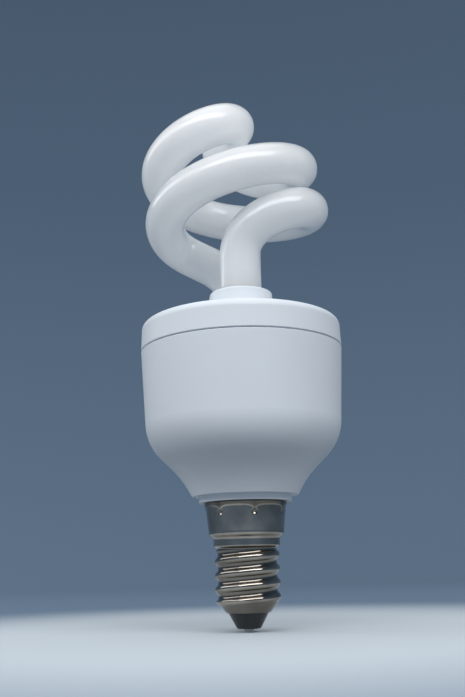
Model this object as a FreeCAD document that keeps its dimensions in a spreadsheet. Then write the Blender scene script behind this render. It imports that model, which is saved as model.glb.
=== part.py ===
"""Spiral energy saving bulb with a small screw cap, in millimetres.

The origin is the tip of the centre contact and +Z runs up the lamp's axis to the tube.
From the bottom: contact, black insulator, screw shell, moulded housing with the ballast
board inside, snap-on cover, and the double spiral of glass tube that the cover carries.
"""
import FreeCAD
import Part
import Sketcher
import math
import os
import re
from FreeCAD import Placement, Rotation, Vector

# Driving sizes: lengths in millimetres, angles in degrees, counts as whole numbers
SIZES = {
    # centre contact and insulator
    "contact_radius": 1.25,
    "contact_height": 0.7,
    "contact_round": 0.35,
    "contact_shank_radius": 0.9,
    "contact_shank_length": 1.8,
    "insulator_height": 3.2,
    "insulator_tip_radius": 2.45,
    "insulator_tip_round": 0.5,
    "insulator_plug_height": 1.2,
    # screw shell, plain at the thread's mean radius
    "shell_wall": 0.35,
    "shell_end_radius": 4.65,
    "shell_end_height": 1.8,
    "thread_root_radius": 6.14,
    "thread_mean_radius": 6.48,
    "thread_length": 11.3,
    "thread_runout": 0.5,
    "cap_neck_radius": 7.0,
    "cap_neck_height": 1.3,
    "cap_shoulder_height": 1.9,
    "cap_shoulder_round": 0.9,
    "skirt_foot_radius": 7.95,
    "skirt_rim_radius": 8.5,
    "skirt_height": 6.1,
    "skirt_lip": 0.35,
    "skirt_lip_height": 1.0,
    # crimp marks that hold the shell on the housing's spigot
    "crimp_count": 7,
    "crimp_drop": 2.3,
    "crimp_radius": 0.75,
    "crimp_floor_radius": 0.3,
    "crimp_depth": 0.25,
    "crimp_phase": -77.6,
    # seats and clearances
    "seat_gap": 0.05,
    "rim_gap": 0.15,
    "leg_gap": 0.2,
    "board_gap": 0.35,
    # lower housing
    "spigot_length": 4.8,
    "spigot_wall": 1.1,
    "ring_radius": 9.85,
    "ring_height": 1.35,
    "neck_radius": 11.3,
    "neck_floor": 0.7,
    "flare_radius": 13.4,
    "flare_height": 3.85,
    "flare_round": 22.0,
    "housing_draft": 1.12,
    "shoulder_height": 11.05,
    "shoulder_round": 10.8,
    "housing_radius": 21.96,
    "housing_height": 31.51,
    "housing_wall": 1.5,
    "housing_inner_lift": 1.4,
    "flare_inner_lift": 0.7,
    "seam_gap": 0.25,
    "seam_depth": 0.7,
    "seam_bevel": 0.12,
    "rib_count": 4,
    "rib_thickness": 1.4,
    "rib_reach": 2.0,
    "rib_root": 0.5,
    "rib_height": 7.0,
    # tube cover
    "cover_height": 6.2,
    "cover_draft": 0.21,
    "cover_edge_round": 1.75,
    "cover_wall": 1.5,
    "cover_roof": 1.6,
    "cover_rim_depth": 5.4,
    "cover_rim_wall": 1.3,
    "cover_rim_root": 1.8,
    "boss_height": 4.64,
    "boss_wall": 2.2,
    "boss_round": 0.4,
    "boss_lip": 1.5,
    "cement_wall": 1.1,
    "cement_drop": 1.0,
    # spiral tube: two arms that rise from the legs and meet in a bridge over the axis
    "tube_radius": 4.5,
    "leg_reach": 7.4,
    "leg_angle": -84.3,
    "leg_shift": -0.48,
    "leg_depth": 7.46,
    "front_leg_rise": 8.8,
    "back_leg_rise": 3.5,
    "coil_radius": 16.7,
    "coil_taper": 0.055,
    "coil_pitch": 22.6,
    "coil_rise": 20.3,
    "coil_start": -5.4,
    "coil_sweep": 224.3,
    "coil_lean": 3.7,
    "coil_lean_rise": 9.5,
    "coil_shift_x": 0.2,
    "coil_shift_y": 1.9,
    "arm_radius_spread": 0.69,
    "arm_rise_spread": 0.82,
    "arm_pitch_spread": 0.45,
    "bridge_rise": 41.8,
    "bridge_angle": 125.7,
    "leg_pull": 9.7,
    "coil_entry_pull": 15.1,
    "coil_exit_pull": 11.7,
    "bridge_pull": 11.2,
    # ballast board and the pieces it carries
    "board_thickness": 1.6,
    "pin_side": 0.9,
    "pin_height": 3.0,
    "pin_reach": 12.6,
    "pin_spread": 4.2,
    "lead_radius": 0.3,
    "electrode_spread": 2.2,
    "electrode_drop": 2.2,
    "wire_end_gap": 0.2,
    "cable_radius": 0.65,
    "choke_x": -8.2,
    "choke_y": 2.6,
    "choke_width": 10.4,
    "choke_depth": 4.8,
    "choke_height": 9.6,
    "choke_leg": 2.6,
    "choke_yoke": 1.4,
    "choke_drop": 0.6,
    "bobbin_wall": 0.5,
    "bobbin_flange": 0.7,
    "bobbin_overhang": 2.2,
    "bobbin_foot": 1.1,
    "winding_step": 0.3,
    "main_capacitor_x": 6.2,
    "main_capacitor_y": 3.2,
    "main_capacitor_radius": 4.4,
    "main_capacitor_height": 15.0,
    "main_capacitor_bead": 0.4,
    "main_capacitor_groove_drop": 1.2,
    "toroid_x": 1.0,
    "toroid_y": 11.1,
    "toroid_radius": 4.0,
    "toroid_hole_radius": 2.0,
    "toroid_height": 3.0,
    "toroid_wire": 0.5,
    "toroid_winding_width": 1.8,
    "toroid_winding_slack": 0.3,
    "toroid_winding_count": 3,
    "toroid_winding_phase": 90,
    "transistor_y": -9.0,
    "transistor_spread": 4.9,
    "transistor_width": 7.4,
    "transistor_thickness": 2.7,
    "transistor_height": 9.0,
    "transistor_hole_radius": 1.5,
    "transistor_hole_drop": 2.6,
    "transistor_lead_pitch": 2.3,
    "transistor_lead_width": 0.7,
    "transistor_stand_off": 2.0,
    "resonant_capacitor_x": -10.2,
    "resonant_capacitor_y": -4.8,
    "coupling_capacitor_x": 13.4,
    "coupling_capacitor_y": -1.8,
    "film_capacitor_length": 8.6,
    "film_capacitor_width": 4.0,
    "film_capacitor_height": 7.6,
    "film_capacitor_round": 0.8,
    "film_capacitor_lead_pitch": 5.0,
    "film_capacitor_stand_off": 0.6,
    "inductor_x": 11.3,
    "inductor_y": 8.9,
    "inductor_radius": 2.8,
    "inductor_height": 7.0,
    "inductor_round": 0.5,
    "fuse_x": -12.4,
    "fuse_y": -10.4,
    "fuse_radius": 1.5,
    "fuse_length": 7.0,
    "diode_y": -13.6,
    "diode_pitch": 4.2,
    "diode_count": 4,
    "diode_radius": 1.3,
    "diode_length": 5.0,
    "resistor_x": -8.8,
    "resistor_y": 12.4,
    "resistor_pitch": 3.6,
    "resistor_count": 2,
    "resistor_radius": 1.1,
    "resistor_length": 5.4,
    "trigger_x": 7.6,
    "trigger_y": 12.6,
    "trigger_radius": 0.95,
    "trigger_length": 3.8,
    "axial_stand_off": 0.8,
    "lead_fold_gap": 0.6,
    "neutral_y": -4.4,
}

FULL_TURN = 360
QUARTER_TURN = 90
MATCH = 1e-4

doc = FreeCAD.newDocument("spiral_energy_saving_bulb")
sizes = doc.addObject("Spreadsheet::Sheet", "Sizes")
for row, (alias, number) in enumerate(SIZES.items(), 1):
    sizes.set(f"A{row}", alias)
    sizes.set(f"B{row}", str(number))
    sizes.setAlias(f"B{row}", alias)
doc.recompute()

# Heights up the lamp, each stacked on the one before
SHELL_FOOT = "(contact_height + insulator_height)"
THREAD_FOOT = f"({SHELL_FOOT} + shell_end_height)"
NECK_FOOT = f"({THREAD_FOOT} + thread_length)"
SHOULDER_FOOT = f"({NECK_FOOT} + cap_neck_height)"
SKIRT_FOOT = f"({SHOULDER_FOOT} + cap_shoulder_height)"
CAP_RIM = f"({SKIRT_FOOT} + skirt_height)"
LIP_FOOT = f"({CAP_RIM} - skirt_lip_height)"
SPIGOT_FOOT = f"({CAP_RIM} - spigot_length)"
CRIMP_HEIGHT = f"({CAP_RIM} - crimp_drop)"
NECK = f"({CAP_RIM} + ring_height)"
FLARE = f"({NECK} + flare_height)"
SHOULDER = f"({NECK} + shoulder_height)"
SEAM = f"({NECK} + housing_height)"
ROOF = f"({SEAM} + cover_height)"
BOSS_TOP = f"({ROOF} + boss_height)"
BOARD_TOP = f"({SEAM} - cover_rim_depth - seat_gap)"
BOARD_FOOT = f"({BOARD_TOP} - board_thickness)"
LEG_FOOT = f"({ROOF} - leg_depth)"

# Radii that several pieces share
SKIRT_SLOPE = "(skirt_rim_radius - skirt_foot_radius) / (skirt_height - skirt_lip_height)"
INNER_SHOULDER = f"({SHOULDER} + housing_inner_lift)"
INNER_SEAM_RADIUS = "(housing_radius - housing_wall)"
SHOULDER_RADIUS = "(housing_radius - housing_draft)"
INNER_SHOULDER_RADIUS = f"({SHOULDER_RADIUS} - housing_wall)"
INNER_SLOPE = f"({INNER_SEAM_RADIUS} - {INNER_SHOULDER_RADIUS}) / ({SEAM} - {INNER_SHOULDER})"
COVER_RADIUS = "(housing_radius - cover_draft)"
BOARD_WALL_RADIUS = f"({INNER_SEAM_RADIUS} - ({SEAM} - {BOARD_FOOT}) * {INNER_SLOPE})"
LEG_X = "leg_reach * cos(leg_angle)"
LEG_Y = "leg_reach * sin(leg_angle)"


def linked(expression):
    """An expression in which each size's name points to its cell in the sheet."""
    return re.sub(r"[a-z_]+", lambda word: f"Sizes.{word[0]}" if word[0] in SIZES else word[0], expression)


def value(expression):
    """The number that an expression of sizes gives now."""
    return float(sizes.evalExpression(linked(expression)))


def bind(thing, **properties):
    """Tie an object's properties to expressions of sizes."""
    for name, expression in properties.items():
        thing.setExpression(name.replace("__", "."), linked(str(expression)))
    return thing


def place(thing, x="0", y="0", z="0", rotation=None):
    """Put an object at a place that the sheet gives."""
    thing.Placement = Placement(Vector(value(x), value(y), value(z)), rotation or Rotation())
    return bind(thing, Placement__Base__x=x, Placement__Base__y=y, Placement__Base__z=z)


# Sketches and bodies
def pin(sketch, geometry, position, across, up):
    """Hold one point of a sketch at a distance across and up from the sketch's origin."""
    for kind, expression in (("DistanceX", across), ("DistanceY", up)):
        rule = Sketcher.Constraint(kind, -1, 1, geometry, position, value(expression))
        sketch.setExpression(f"Constraints[{sketch.addConstraint(rule)}]", linked(expression))


def outline(sketch, corners):
    """Draw a closed outline with every corner tied to the sheet.

    A corner is (across, up), or (across, up, radius) where an arc rounds it.
    """
    points = [Vector(value(corner[0]), value(corner[1]), 0) for corner in corners]
    count = len(points)
    bends = []
    for index, (corner, (_, _, *radius)) in enumerate(zip(points, corners)):
        back = (points[index - 1] - corner).normalize()
        ahead = (points[(index + 1) % count] - corner).normalize()
        reach = value(radius[0]) if radius else 0
        half = back.getAngle(ahead) / 2
        run = reach / math.tan(half)
        centre = corner + (back + ahead).normalize() * (reach / math.sin(half)) if radius else corner
        bends.append((corner + back * run, centre, corner + ahead * run))
    for index in range(count):
        sketch.addGeometry(Part.LineSegment(bends[index][2], bends[(index + 1) % count][0]), False)
    for index, (across, up, *radius) in enumerate(corners):
        before, after = (index - 1) % count, index
        if not radius:
            sketch.addConstraint(Sketcher.Constraint("Coincident", before, 2, after, 1))
            pin(sketch, after, 1, across, up)
            continue
        enter, centre, leave = bends[index]
        leftward = (enter - centre).cross(leave - centre).z > 0
        ends = [math.atan2(end.y - centre.y, end.x - centre.x) for end in (enter, leave)]
        start, stop = ends if leftward else ends[::-1]
        ring = Part.Circle(centre, Vector(0, 0, 1), value(radius[0]))
        stop += 0 if stop > start else math.tau
        arc = sketch.addGeometry(Part.ArcOfCircle(ring, start, stop), False)
        apex = sketch.addGeometry(Part.Point(points[index]), True)
        pin(sketch, apex, 1, across, up)
        first, last = (1, 2) if leftward else (2, 1)
        for line, line_end, arc_end in ((before, 2, first), (after, 1, last)):
            sketch.addConstraint(Sketcher.Constraint("PointOnObject", apex, 1, line))
            sketch.addConstraint(Sketcher.Constraint("Tangent", line, line_end, arc, arc_end))
        rule = sketch.addConstraint(Sketcher.Constraint("Radius", arc, value(radius[0])))
        sketch.setExpression(f"Constraints[{rule}]", linked(radius[0]))
    return sketch


def body_sketch(body, name, role, height="0"):
    """An empty sketch on one of a body's own planes, raised to a height above it."""
    sketch = body.newObject("Sketcher::SketchObject", name)
    plane = next(feature for feature in body.Origin.OriginFeatures if feature.Role == role)
    sketch.AttachmentSupport = [(plane, "")]
    sketch.MapMode = "FlatFace"
    sketch.AttachmentOffset = Placement(Vector(0, 0, value(height)), Rotation())
    return bind(sketch, AttachmentOffset__Base__z=height)


def turned(label, corners):
    """A body turned about the lamp's axis from a half section of (radius, height) corners."""
    body = doc.addObject("PartDesign::Body", label)
    sketch = outline(body_sketch(body, f"{label}_section", "XZ_Plane"), corners)
    feature = body.newObject("PartDesign::Revolution", f"{label}_turned")
    feature.Profile = sketch
    feature.ReferenceAxis = (sketch, ["V_Axis"])
    feature.Angle = FULL_TURN
    doc.recompute()
    return body


def rim_names(shape, rims):
    """The names of the circular edges that have the given (radius, height) values."""
    wanted = [(value(radius), value(height)) for radius, height in rims]
    names = []
    for number, edge in enumerate(shape.Edges, 1):
        if not isinstance(edge.Curve, Part.Circle):
            continue
        ring = (edge.Curve.Radius, edge.Curve.Center.z)
        if any(math.dist(ring, rim) < MATCH for rim in wanted):
            names.append(f"Edge{number}")
    return names


def dress(body, kind, size, edges):
    """Round or bevel named edges of a body's last feature by a size of the sheet."""
    base = body.Tip
    feature = body.newObject(kind, f"{body.Name}_{len(body.Group)}")
    feature.Base = (base, edges)
    bind(feature, **{"Radius" if kind.endswith("Fillet") else "Size": size})
    doc.recompute()
    return feature


def round_rims(body, size, *rims):
    return dress(body, "PartDesign::Fillet", size, rim_names(body.Tip.Shape, rims))


def bevel_rims(body, size, *rims):
    return dress(body, "PartDesign::Chamfer", size, rim_names(body.Tip.Shape, rims))


def slot_sketch(body, name, height, radius):
    """An obround round the two legs, on a level plane of a body."""
    sketch = body_sketch(body, name, "XY_Plane", height)
    centres = ((f"leg_shift + {LEG_X}", LEG_Y), (f"leg_shift - {LEG_X}", f"-({LEG_Y})"))
    points = [Vector(value(x), value(y), 0) for x, y in centres]
    facing = math.radians(value("leg_angle"))
    half, reach = math.pi / 2, value(radius)
    side = Vector(-math.sin(facing), math.cos(facing), 0) * reach
    for centre, start in zip(points, (facing - half, facing + half)):
        ring = Part.Circle(centre, Vector(0, 0, 1), reach)
        sketch.addGeometry(Part.ArcOfCircle(ring, start, start + math.pi), False)
    sketch.addGeometry(Part.LineSegment(points[0] + side, points[1] + side), False)
    sketch.addGeometry(Part.LineSegment(points[1] - side, points[0] - side), False)
    for arc, arc_end, line, line_end in ((0, 2, 2, 1), (1, 1, 2, 2), (1, 2, 3, 1), (0, 1, 3, 2)):
        sketch.addConstraint(Sketcher.Constraint("Tangent", arc, arc_end, line, line_end))
    for arc, (x, y) in enumerate(centres):
        pin(sketch, arc, 3, x, y)
    sketch.addConstraint(Sketcher.Constraint("Equal", 0, 1))
    rule = sketch.addConstraint(Sketcher.Constraint("Radius", 0, reach))
    sketch.setExpression(f"Constraints[{rule}]", linked(radius))
    return sketch


def leg_sketch(body, name, height, radius):
    """A circle round each leg, on a level plane of a body."""
    sketch = body_sketch(body, name, "XY_Plane", height)
    for index, sign in enumerate(("+", "-")):
        x, y = f"leg_shift {sign} {LEG_X}", f"0 {sign} {LEG_Y}"
        ring = Part.Circle(Vector(value(x), value(y), 0), Vector(0, 0, 1), value(radius))
        sketch.addGeometry(ring, False)
        pin(sketch, index, 3, x, y)
        rule = sketch.addConstraint(Sketcher.Constraint("Radius", index, value(radius)))
        sketch.setExpression(f"Constraints[{rule}]", linked(radius))
    return sketch


def extruded(body, kind, sketch, length, downward=False):
    """Pad or pocket a body's sketch by a length of the sheet."""
    feature = body.newObject(kind, f"{sketch.Name}_{'cut' if kind.endswith('Pocket') else 'pad'}")
    feature.Profile = sketch
    feature.Reversed = downward
    bind(feature, Length=length)
    doc.recompute()
    return feature


# Primitives and joins
def cylinder(name, radius, height, x="0", y="0", z="0"):
    thing = doc.addObject("Part::Cylinder", name)
    return place(bind(thing, Radius=radius, Height=height), x, y, z)


def block(name, width, depth, height, x="0", y="0", z="0"):
    """A box centred on x and y that stands on z."""
    thing = bind(doc.addObject("Part::Box", name), Length=width, Width=depth, Height=height)
    return place(thing, f"{x} - ({width}) / 2", f"{y} - ({depth}) / 2", z)


def fused(label, *things):
    joined = doc.addObject("Part::MultiFuse", label)
    joined.Shapes = list(things)
    return joined


def cut(label, base, tool):
    result = doc.addObject("Part::Cut", label)
    result.Base = base
    result.Tool = tool
    return result


def group(label, *things):
    """Separate like pieces that share one node."""
    result = doc.addObject("Part::Compound", label)
    result.Links = list(things)
    return result


def swept(label, path, radius):
    """A round bar along a path; the path's first edge must be straight."""
    spine = doc.addObject("Part::Feature", f"{label}_path")
    spine.Shape = path
    start = path.OrderedVertexes[0].Point
    heading = path.OrderedEdges[0].tangentAt(path.OrderedEdges[0].FirstParameter)
    section = bind(doc.addObject("Part::Circle", f"{label}_section"), Radius=radius)
    section.Placement = Placement(start, Rotation(Vector(0, 0, 1), heading))
    bar = doc.addObject("Part::Sweep", label)
    bar.Sections = [section]
    bar.Spine = (spine, [f"Edge{number}" for number in range(1, len(path.Edges) + 1)])
    bar.Solid = True
    bar.Transition = "Right corner"
    return bar


# Paths of straight runs and tangent arcs
def tangent_arc(start, corner, end):
    """The arc from start to end whose tangents there meet in the corner."""
    to_start, to_end = (start - corner).normalize(), (end - corner).normalize()
    half = to_start.getAngle(to_end) / 2
    run = (start - corner).Length
    inward = (to_start + to_end).normalize()
    middle = corner + inward * (run / math.cos(half) - run * math.tan(half))
    return Part.Arc(start, middle, end).toShape()


def two_arcs(start, heading, end, end_heading):
    """Two tangent arcs from one point and heading to another."""
    span = end - start
    along = span.dot(heading + end_heading)
    spread = 2 * (1 - heading.dot(end_heading))
    run = (math.sqrt(along**2 + spread * span.dot(span)) - along) / spread
    first, second = start + heading * run, end - end_heading * run
    middle = (first + second) * 0.5
    return [tangent_arc(start, first, middle), tangent_arc(middle, second, end)]


def curve_stations(handles, count):
    """Points and headings along a cubic curve of four handles, the first one left out."""
    first, second, third, fourth = handles
    stations = []
    for step in range(1, count + 1):
        there = step / count
        back = 1 - there
        point = first * back**3 + second * (3 * back**2 * there)
        point += third * (3 * back * there**2) + fourth * there**3
        heading = (second - first) * back**2 + (third - second) * (2 * back * there)
        heading += (fourth - third) * there**2
        stations.append((point, heading.normalize()))
    return stations


# Spiral tube
BEND_STATIONS = 4
COIL_STATIONS = 6


def lean(point):
    """Lean the coil to its side about a level line above the boss, and shift it."""
    pivot = Vector(0, 0, value(f"{BOSS_TOP} + coil_lean_rise"))
    turn = Rotation(Vector(0, 1, 0), -value("coil_lean"))
    return turn.multVec(point - pivot) + pivot + Vector(value("coil_shift_x"), value("coil_shift_y"), 0)


def arm_stations(side, leg_rise):
    """Points and headings up one arm, from its leg's foot to the middle of the bridge.

    side is +1 for the front arm and -1 for the back arm, which starts half a turn round.
    """
    spread = side / 2
    radius = value("coil_radius") + spread * value("arm_radius_spread")
    pitch = value("coil_pitch") - spread * value("arm_pitch_spread")
    rise = value(f"{BOSS_TOP} + coil_rise") + spread * value("arm_rise_spread")
    start = math.radians(value("coil_start")) + (0 if side > 0 else math.pi)
    sweep = math.radians(value("coil_sweep"))
    foot = Vector(value("leg_shift") + side * value(LEG_X), side * value(LEG_Y), value(LEG_FOOT))
    up = Vector(0, 0, 1)
    leg_top = Vector(foot.x, foot.y, value(f"{BOSS_TOP} + {leg_rise}"))

    def coil(turn):
        climb = pitch * turn / math.tau
        reach = radius - value("coil_taper") * climb
        return lean(Vector(reach * math.cos(start + turn), reach * math.sin(start + turn), rise + climb))

    def coil_heading(turn):
        return (coil(turn + MATCH) - coil(turn - MATCH)).normalize()

    crown = lean(Vector(0, 0, value(f"{BOSS_TOP} + bridge_rise")))
    facing = math.radians(value("bridge_angle"))
    across = lean(Vector(math.cos(facing), math.sin(facing), 0)) - lean(Vector())
    entry, leave = coil(0), coil(sweep)
    bend = (
        leg_top,
        leg_top + up * value("leg_pull"),
        entry - coil_heading(0) * value("coil_entry_pull"),
        entry,
    )
    bridge = (
        leave,
        leave + coil_heading(sweep) * value("coil_exit_pull"),
        crown - across * side * value("bridge_pull"),
        crown,
    )
    turns = [sweep * step / COIL_STATIONS for step in range(1, COIL_STATIONS + 1)]
    stations = [(foot, up), (leg_top, up)] + curve_stations(bend, BEND_STATIONS)
    stations += [(coil(turn), coil_heading(turn)) for turn in turns]
    return stations + curve_stations(bridge, BEND_STATIONS)


def spiral_tube():
    """One glass tube: front leg, front arm, bridge, back arm and back leg."""
    front = arm_stations(1, "front_leg_rise")
    back = [(point, heading * -1) for point, heading in reversed(arm_stations(-1, "back_leg_rise")[:-1])]
    stations = front + back
    edges = [Part.LineSegment(stations[0][0], stations[1][0]).toShape()]
    for (start, heading), (end, end_heading) in zip(stations[1:-2], stations[2:-1]):
        edges += two_arcs(start, heading, end, end_heading)
    edges.append(Part.LineSegment(stations[-2][0], stations[-1][0]).toShape())
    return swept("spiral_tube", Part.Wire(edges), "tube_radius")


# Screw cap
def crimp_marks():
    """A ring of punch marks in the skirt: cones on radial lines that narrow towards the axis."""
    surface = f"(skirt_rim_radius - (crimp_drop - skirt_lip_height) * {SKIRT_SLOPE})"
    count = round(value("crimp_count"))
    cones = []
    for index in range(count):
        angle = math.radians(value("crimp_phase") + FULL_TURN * index / count)
        facing = Vector(math.cos(angle), math.sin(angle), 0)
        cone = doc.addObject("Part::Cone", f"crimp_mark_{index}")
        bind(cone, Radius1="crimp_radius", Radius2="crimp_floor_radius", Height="crimp_depth * 2")
        place(cone, f"({surface} + crimp_depth) * {facing.x}", f"({surface} + crimp_depth) * {facing.y}",
              CRIMP_HEIGHT, Rotation(Vector(0, 0, 1), facing * -1))
        cones.append(cone)
    return fused("crimp_marks", *cones)


def cap_shell():
    """The rolled shell: tapered end, threaded length, plain neck, shoulder and crimped skirt."""
    core = turned("shell_core", [
        ("0", SHELL_FOOT),
        ("shell_end_radius", SHELL_FOOT),
        ("thread_mean_radius", f"{THREAD_FOOT} + thread_runout"),
        ("thread_mean_radius", NECK_FOOT),
        ("cap_neck_radius", NECK_FOOT),
        ("cap_neck_radius", SHOULDER_FOOT),
        ("skirt_foot_radius", SKIRT_FOOT, "cap_shoulder_round"),
        ("skirt_rim_radius", LIP_FOOT),
        ("skirt_rim_radius + skirt_lip", CAP_RIM),
        ("0", CAP_RIM),
    ])
    bore = turned("shell_bore", [
        ("0", f"{SHELL_FOOT} - shell_wall"),
        ("shell_end_radius - shell_wall", f"{SHELL_FOOT} - shell_wall"),
        ("shell_end_radius - shell_wall", SHELL_FOOT),
        ("thread_root_radius - shell_wall", THREAD_FOOT),
        ("thread_root_radius - shell_wall", f"{NECK_FOOT} - shell_wall"),
        ("cap_neck_radius - shell_wall", f"{NECK_FOOT} + shell_wall"),
        ("cap_neck_radius - shell_wall", f"{SHOULDER_FOOT} + shell_wall"),
        ("skirt_foot_radius - shell_wall", SKIRT_FOOT),
        ("skirt_rim_radius - shell_wall", LIP_FOOT),
        ("skirt_rim_radius + skirt_lip - shell_wall", CAP_RIM),
        ("skirt_rim_radius + skirt_lip - shell_wall", f"{CAP_RIM} + shell_wall"),
        ("0", f"{CAP_RIM} + shell_wall"),
    ])
    return cut("cap_shell", cut("shell_marked", core, crimp_marks()), bore)


def cap_insulator():
    """The black glass cone between shell and contact, trapped by the shell's tapered end."""
    inside = "(shell_wall + seat_gap)"
    body = turned("cap_insulator", [
        ("contact_shank_radius + seat_gap", "contact_height"),
        ("insulator_tip_radius", "contact_height"),
        (f"shell_end_radius - {inside}", SHELL_FOOT),
        (f"thread_root_radius - {inside}", THREAD_FOOT),
        (f"thread_root_radius - {inside}", f"{THREAD_FOOT} + insulator_plug_height"),
        ("contact_shank_radius + seat_gap", f"{THREAD_FOOT} + insulator_plug_height"),
    ])
    round_rims(body, "insulator_tip_round", ("insulator_tip_radius", "contact_height"))
    return body


def centre_contact():
    """The contact's button with a small flat, on a shank through the insulator."""
    body = turned("centre_contact", [
        ("0", "0"),
        ("contact_radius", "0"),
        ("contact_radius", "contact_height"),
        ("contact_shank_radius", "contact_height"),
        ("contact_shank_radius", "contact_height + contact_shank_length"),
        ("0", "contact_height + contact_shank_length"),
    ])
    round_rims(body, "contact_round", ("contact_radius", "0"))
    return body


# Housing and cover
def lower_housing():
    """The moulded shell: spigot in the cap, step ring, flared neck, shoulder and drafted wall."""
    spigot_rim = "skirt_rim_radius - shell_wall - seat_gap"
    spigot_end = f"({spigot_rim} - (spigot_length - skirt_lip_height) * {SKIRT_SLOPE})"
    spigot_bore = f"({spigot_end} - spigot_wall)"
    body = turned("lower_housing", [
        (spigot_bore, SPIGOT_FOOT),
        (spigot_end, SPIGOT_FOOT),
        (spigot_rim, LIP_FOOT),
        (spigot_rim, CAP_RIM),
        ("ring_radius", CAP_RIM),
        ("ring_radius", NECK),
        ("neck_radius", NECK),
        ("flare_radius", FLARE, "flare_round"),
        (SHOULDER_RADIUS, SHOULDER, "shoulder_round"),
        ("housing_radius", f"{SEAM} - seam_gap"),
        ("housing_radius - seam_depth", f"{SEAM} - seam_gap"),
        ("housing_radius - seam_depth", SEAM),
        (INNER_SEAM_RADIUS, SEAM),
        (INNER_SHOULDER_RADIUS, INNER_SHOULDER),
        ("flare_radius - housing_wall", f"{FLARE} + flare_inner_lift"),
        (spigot_bore, f"{NECK} + neck_floor"),
    ])
    bevel_rims(body, "seam_bevel", ("housing_radius", f"{SEAM} - seam_gap"))
    rib = body_sketch(body, "board_rib", "XY_Plane", f"{BOARD_FOOT} - rib_height")
    near, far = f"{BOARD_WALL_RADIUS} - rib_reach", f"{BOARD_WALL_RADIUS} + rib_root"
    half = "rib_thickness / 2"
    outline(rib, [(near, f"-{half}"), (far, f"-{half}"), (far, half), (near, half)])
    pad = extruded(body, "PartDesign::Pad", rib, "rib_height")
    ribs = body.newObject("PartDesign::PolarPattern", "board_ribs")
    ribs.Originals = [pad]
    ribs.Axis = (rib, ["N_Axis"])
    ribs.Angle = FULL_TURN
    bind(ribs, Occurrences="rib_count")
    body.Tip = ribs
    doc.recompute()
    return body


def tube_cover():
    """The snap-on cover: roof, rim inside the housing and a boss that grips both legs."""
    rim_radius = f"({INNER_SEAM_RADIUS} - rim_gap - cover_rim_depth * {INNER_SLOPE})"
    rim_bore = f"({rim_radius} - cover_rim_wall)"
    ceiling = f"({ROOF} - cover_roof)"
    body = turned("tube_cover", [
        ("0", ceiling),
        (f"{COVER_RADIUS} - cover_wall", ceiling),
        (f"{COVER_RADIUS} - cover_wall", f"{SEAM} + cover_rim_root + cover_wall"),
        (rim_bore, f"{SEAM} + cover_rim_root"),
        (rim_bore, f"{SEAM} - cover_rim_depth"),
        (rim_radius, f"{SEAM} - cover_rim_depth"),
        (rim_radius, SEAM),
        ("housing_radius", SEAM),
        (COVER_RADIUS, ROOF),
        ("0", ROOF),
    ])
    bevel_rims(body, "seam_bevel", ("housing_radius", SEAM))
    round_rims(body, "cover_edge_round", (COVER_RADIUS, ROOF))
    boss = slot_sketch(body, "boss", ROOF, "tube_radius + boss_wall")
    extruded(body, "PartDesign::Pad", boss, "boss_height")
    top = [
        f"Edge{number}" for number, edge in enumerate(body.Tip.Shape.Edges, 1)
        if all(abs(vertex.Z - value(BOSS_TOP)) < MATCH for vertex in edge.Vertexes)
    ]
    dress(body, "PartDesign::Fillet", "boss_round", top)
    pocket = slot_sketch(body, "cement_pocket", ceiling, "tube_radius + cement_wall + seat_gap")
    extruded(body, "PartDesign::Pocket", pocket, "cover_roof + boss_height - boss_lip", True)
    holes = leg_sketch(body, "leg_holes", ceiling, "tube_radius + leg_gap")
    extruded(body, "PartDesign::Pocket", holes, "cover_roof + boss_height", True)
    return body


def tube_cement():
    """The cement that fills the boss from below and bonds both legs."""
    body = doc.addObject("PartDesign::Body", "tube_cement")
    foot = f"{ROOF} - cover_roof - cement_drop"
    fill = slot_sketch(body, "cement_fill", foot, "tube_radius + cement_wall")
    extruded(body, "PartDesign::Pad", fill, "cement_drop + cover_roof + boss_height - boss_lip - seat_gap")
    holes = leg_sketch(body, "cement_holes", foot, "tube_radius + seat_gap")
    extruded(body, "PartDesign::Pocket", holes, "cement_drop + cover_roof + boss_height", True)
    return body


# Ballast board
def hung(height, drop="0"):
    """The height at which a piece starts that ends a drop below the board."""
    return f"{BOARD_FOOT} - ({drop}) - ({height})"


def circuit_board():
    return cylinder("circuit_board", f"{BOARD_WALL_RADIUS} - board_gap", "board_thickness", z=BOARD_FOOT)


def pin_places():
    """The four posts: two beside each leg's end."""
    return [(side, hand) for side in (1, -1) for hand in (1, -1)]


def electrode_pins():
    posts = []
    for side, hand in pin_places():
        posts.append(block(f"pin_{side}_{hand}", "pin_side", "pin_side", "pin_height",
                           f"{hand} * pin_spread", f"{-side} * pin_reach", BOARD_TOP))
    return group("electrode_pins", *posts)


def electrode_wires():
    """Two wires from each leg's sealed end, bent over to the side of a post."""
    wires = []
    for side, hand in pin_places():
        x = f"leg_shift + {side} * {LEG_X} + {hand} * electrode_spread / 2"
        y = f"{side} * {LEG_Y}"
        level = f"{LEG_FOOT} - electrode_drop"
        start = Vector(value(x), value(y), value(LEG_FOOT))
        corner = Vector(start.x, start.y, value(level))
        reach = value("pin_reach - pin_side / 2 - wire_end_gap")
        end = Vector(value(f"{hand} * pin_spread"), -side * reach, value(level))
        path = Part.makePolygon([start, corner, end])
        wires.append(swept(f"electrode_wire_{side}_{hand}", path, "lead_radius"))
    return group("electrode_wires", *wires)


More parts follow.
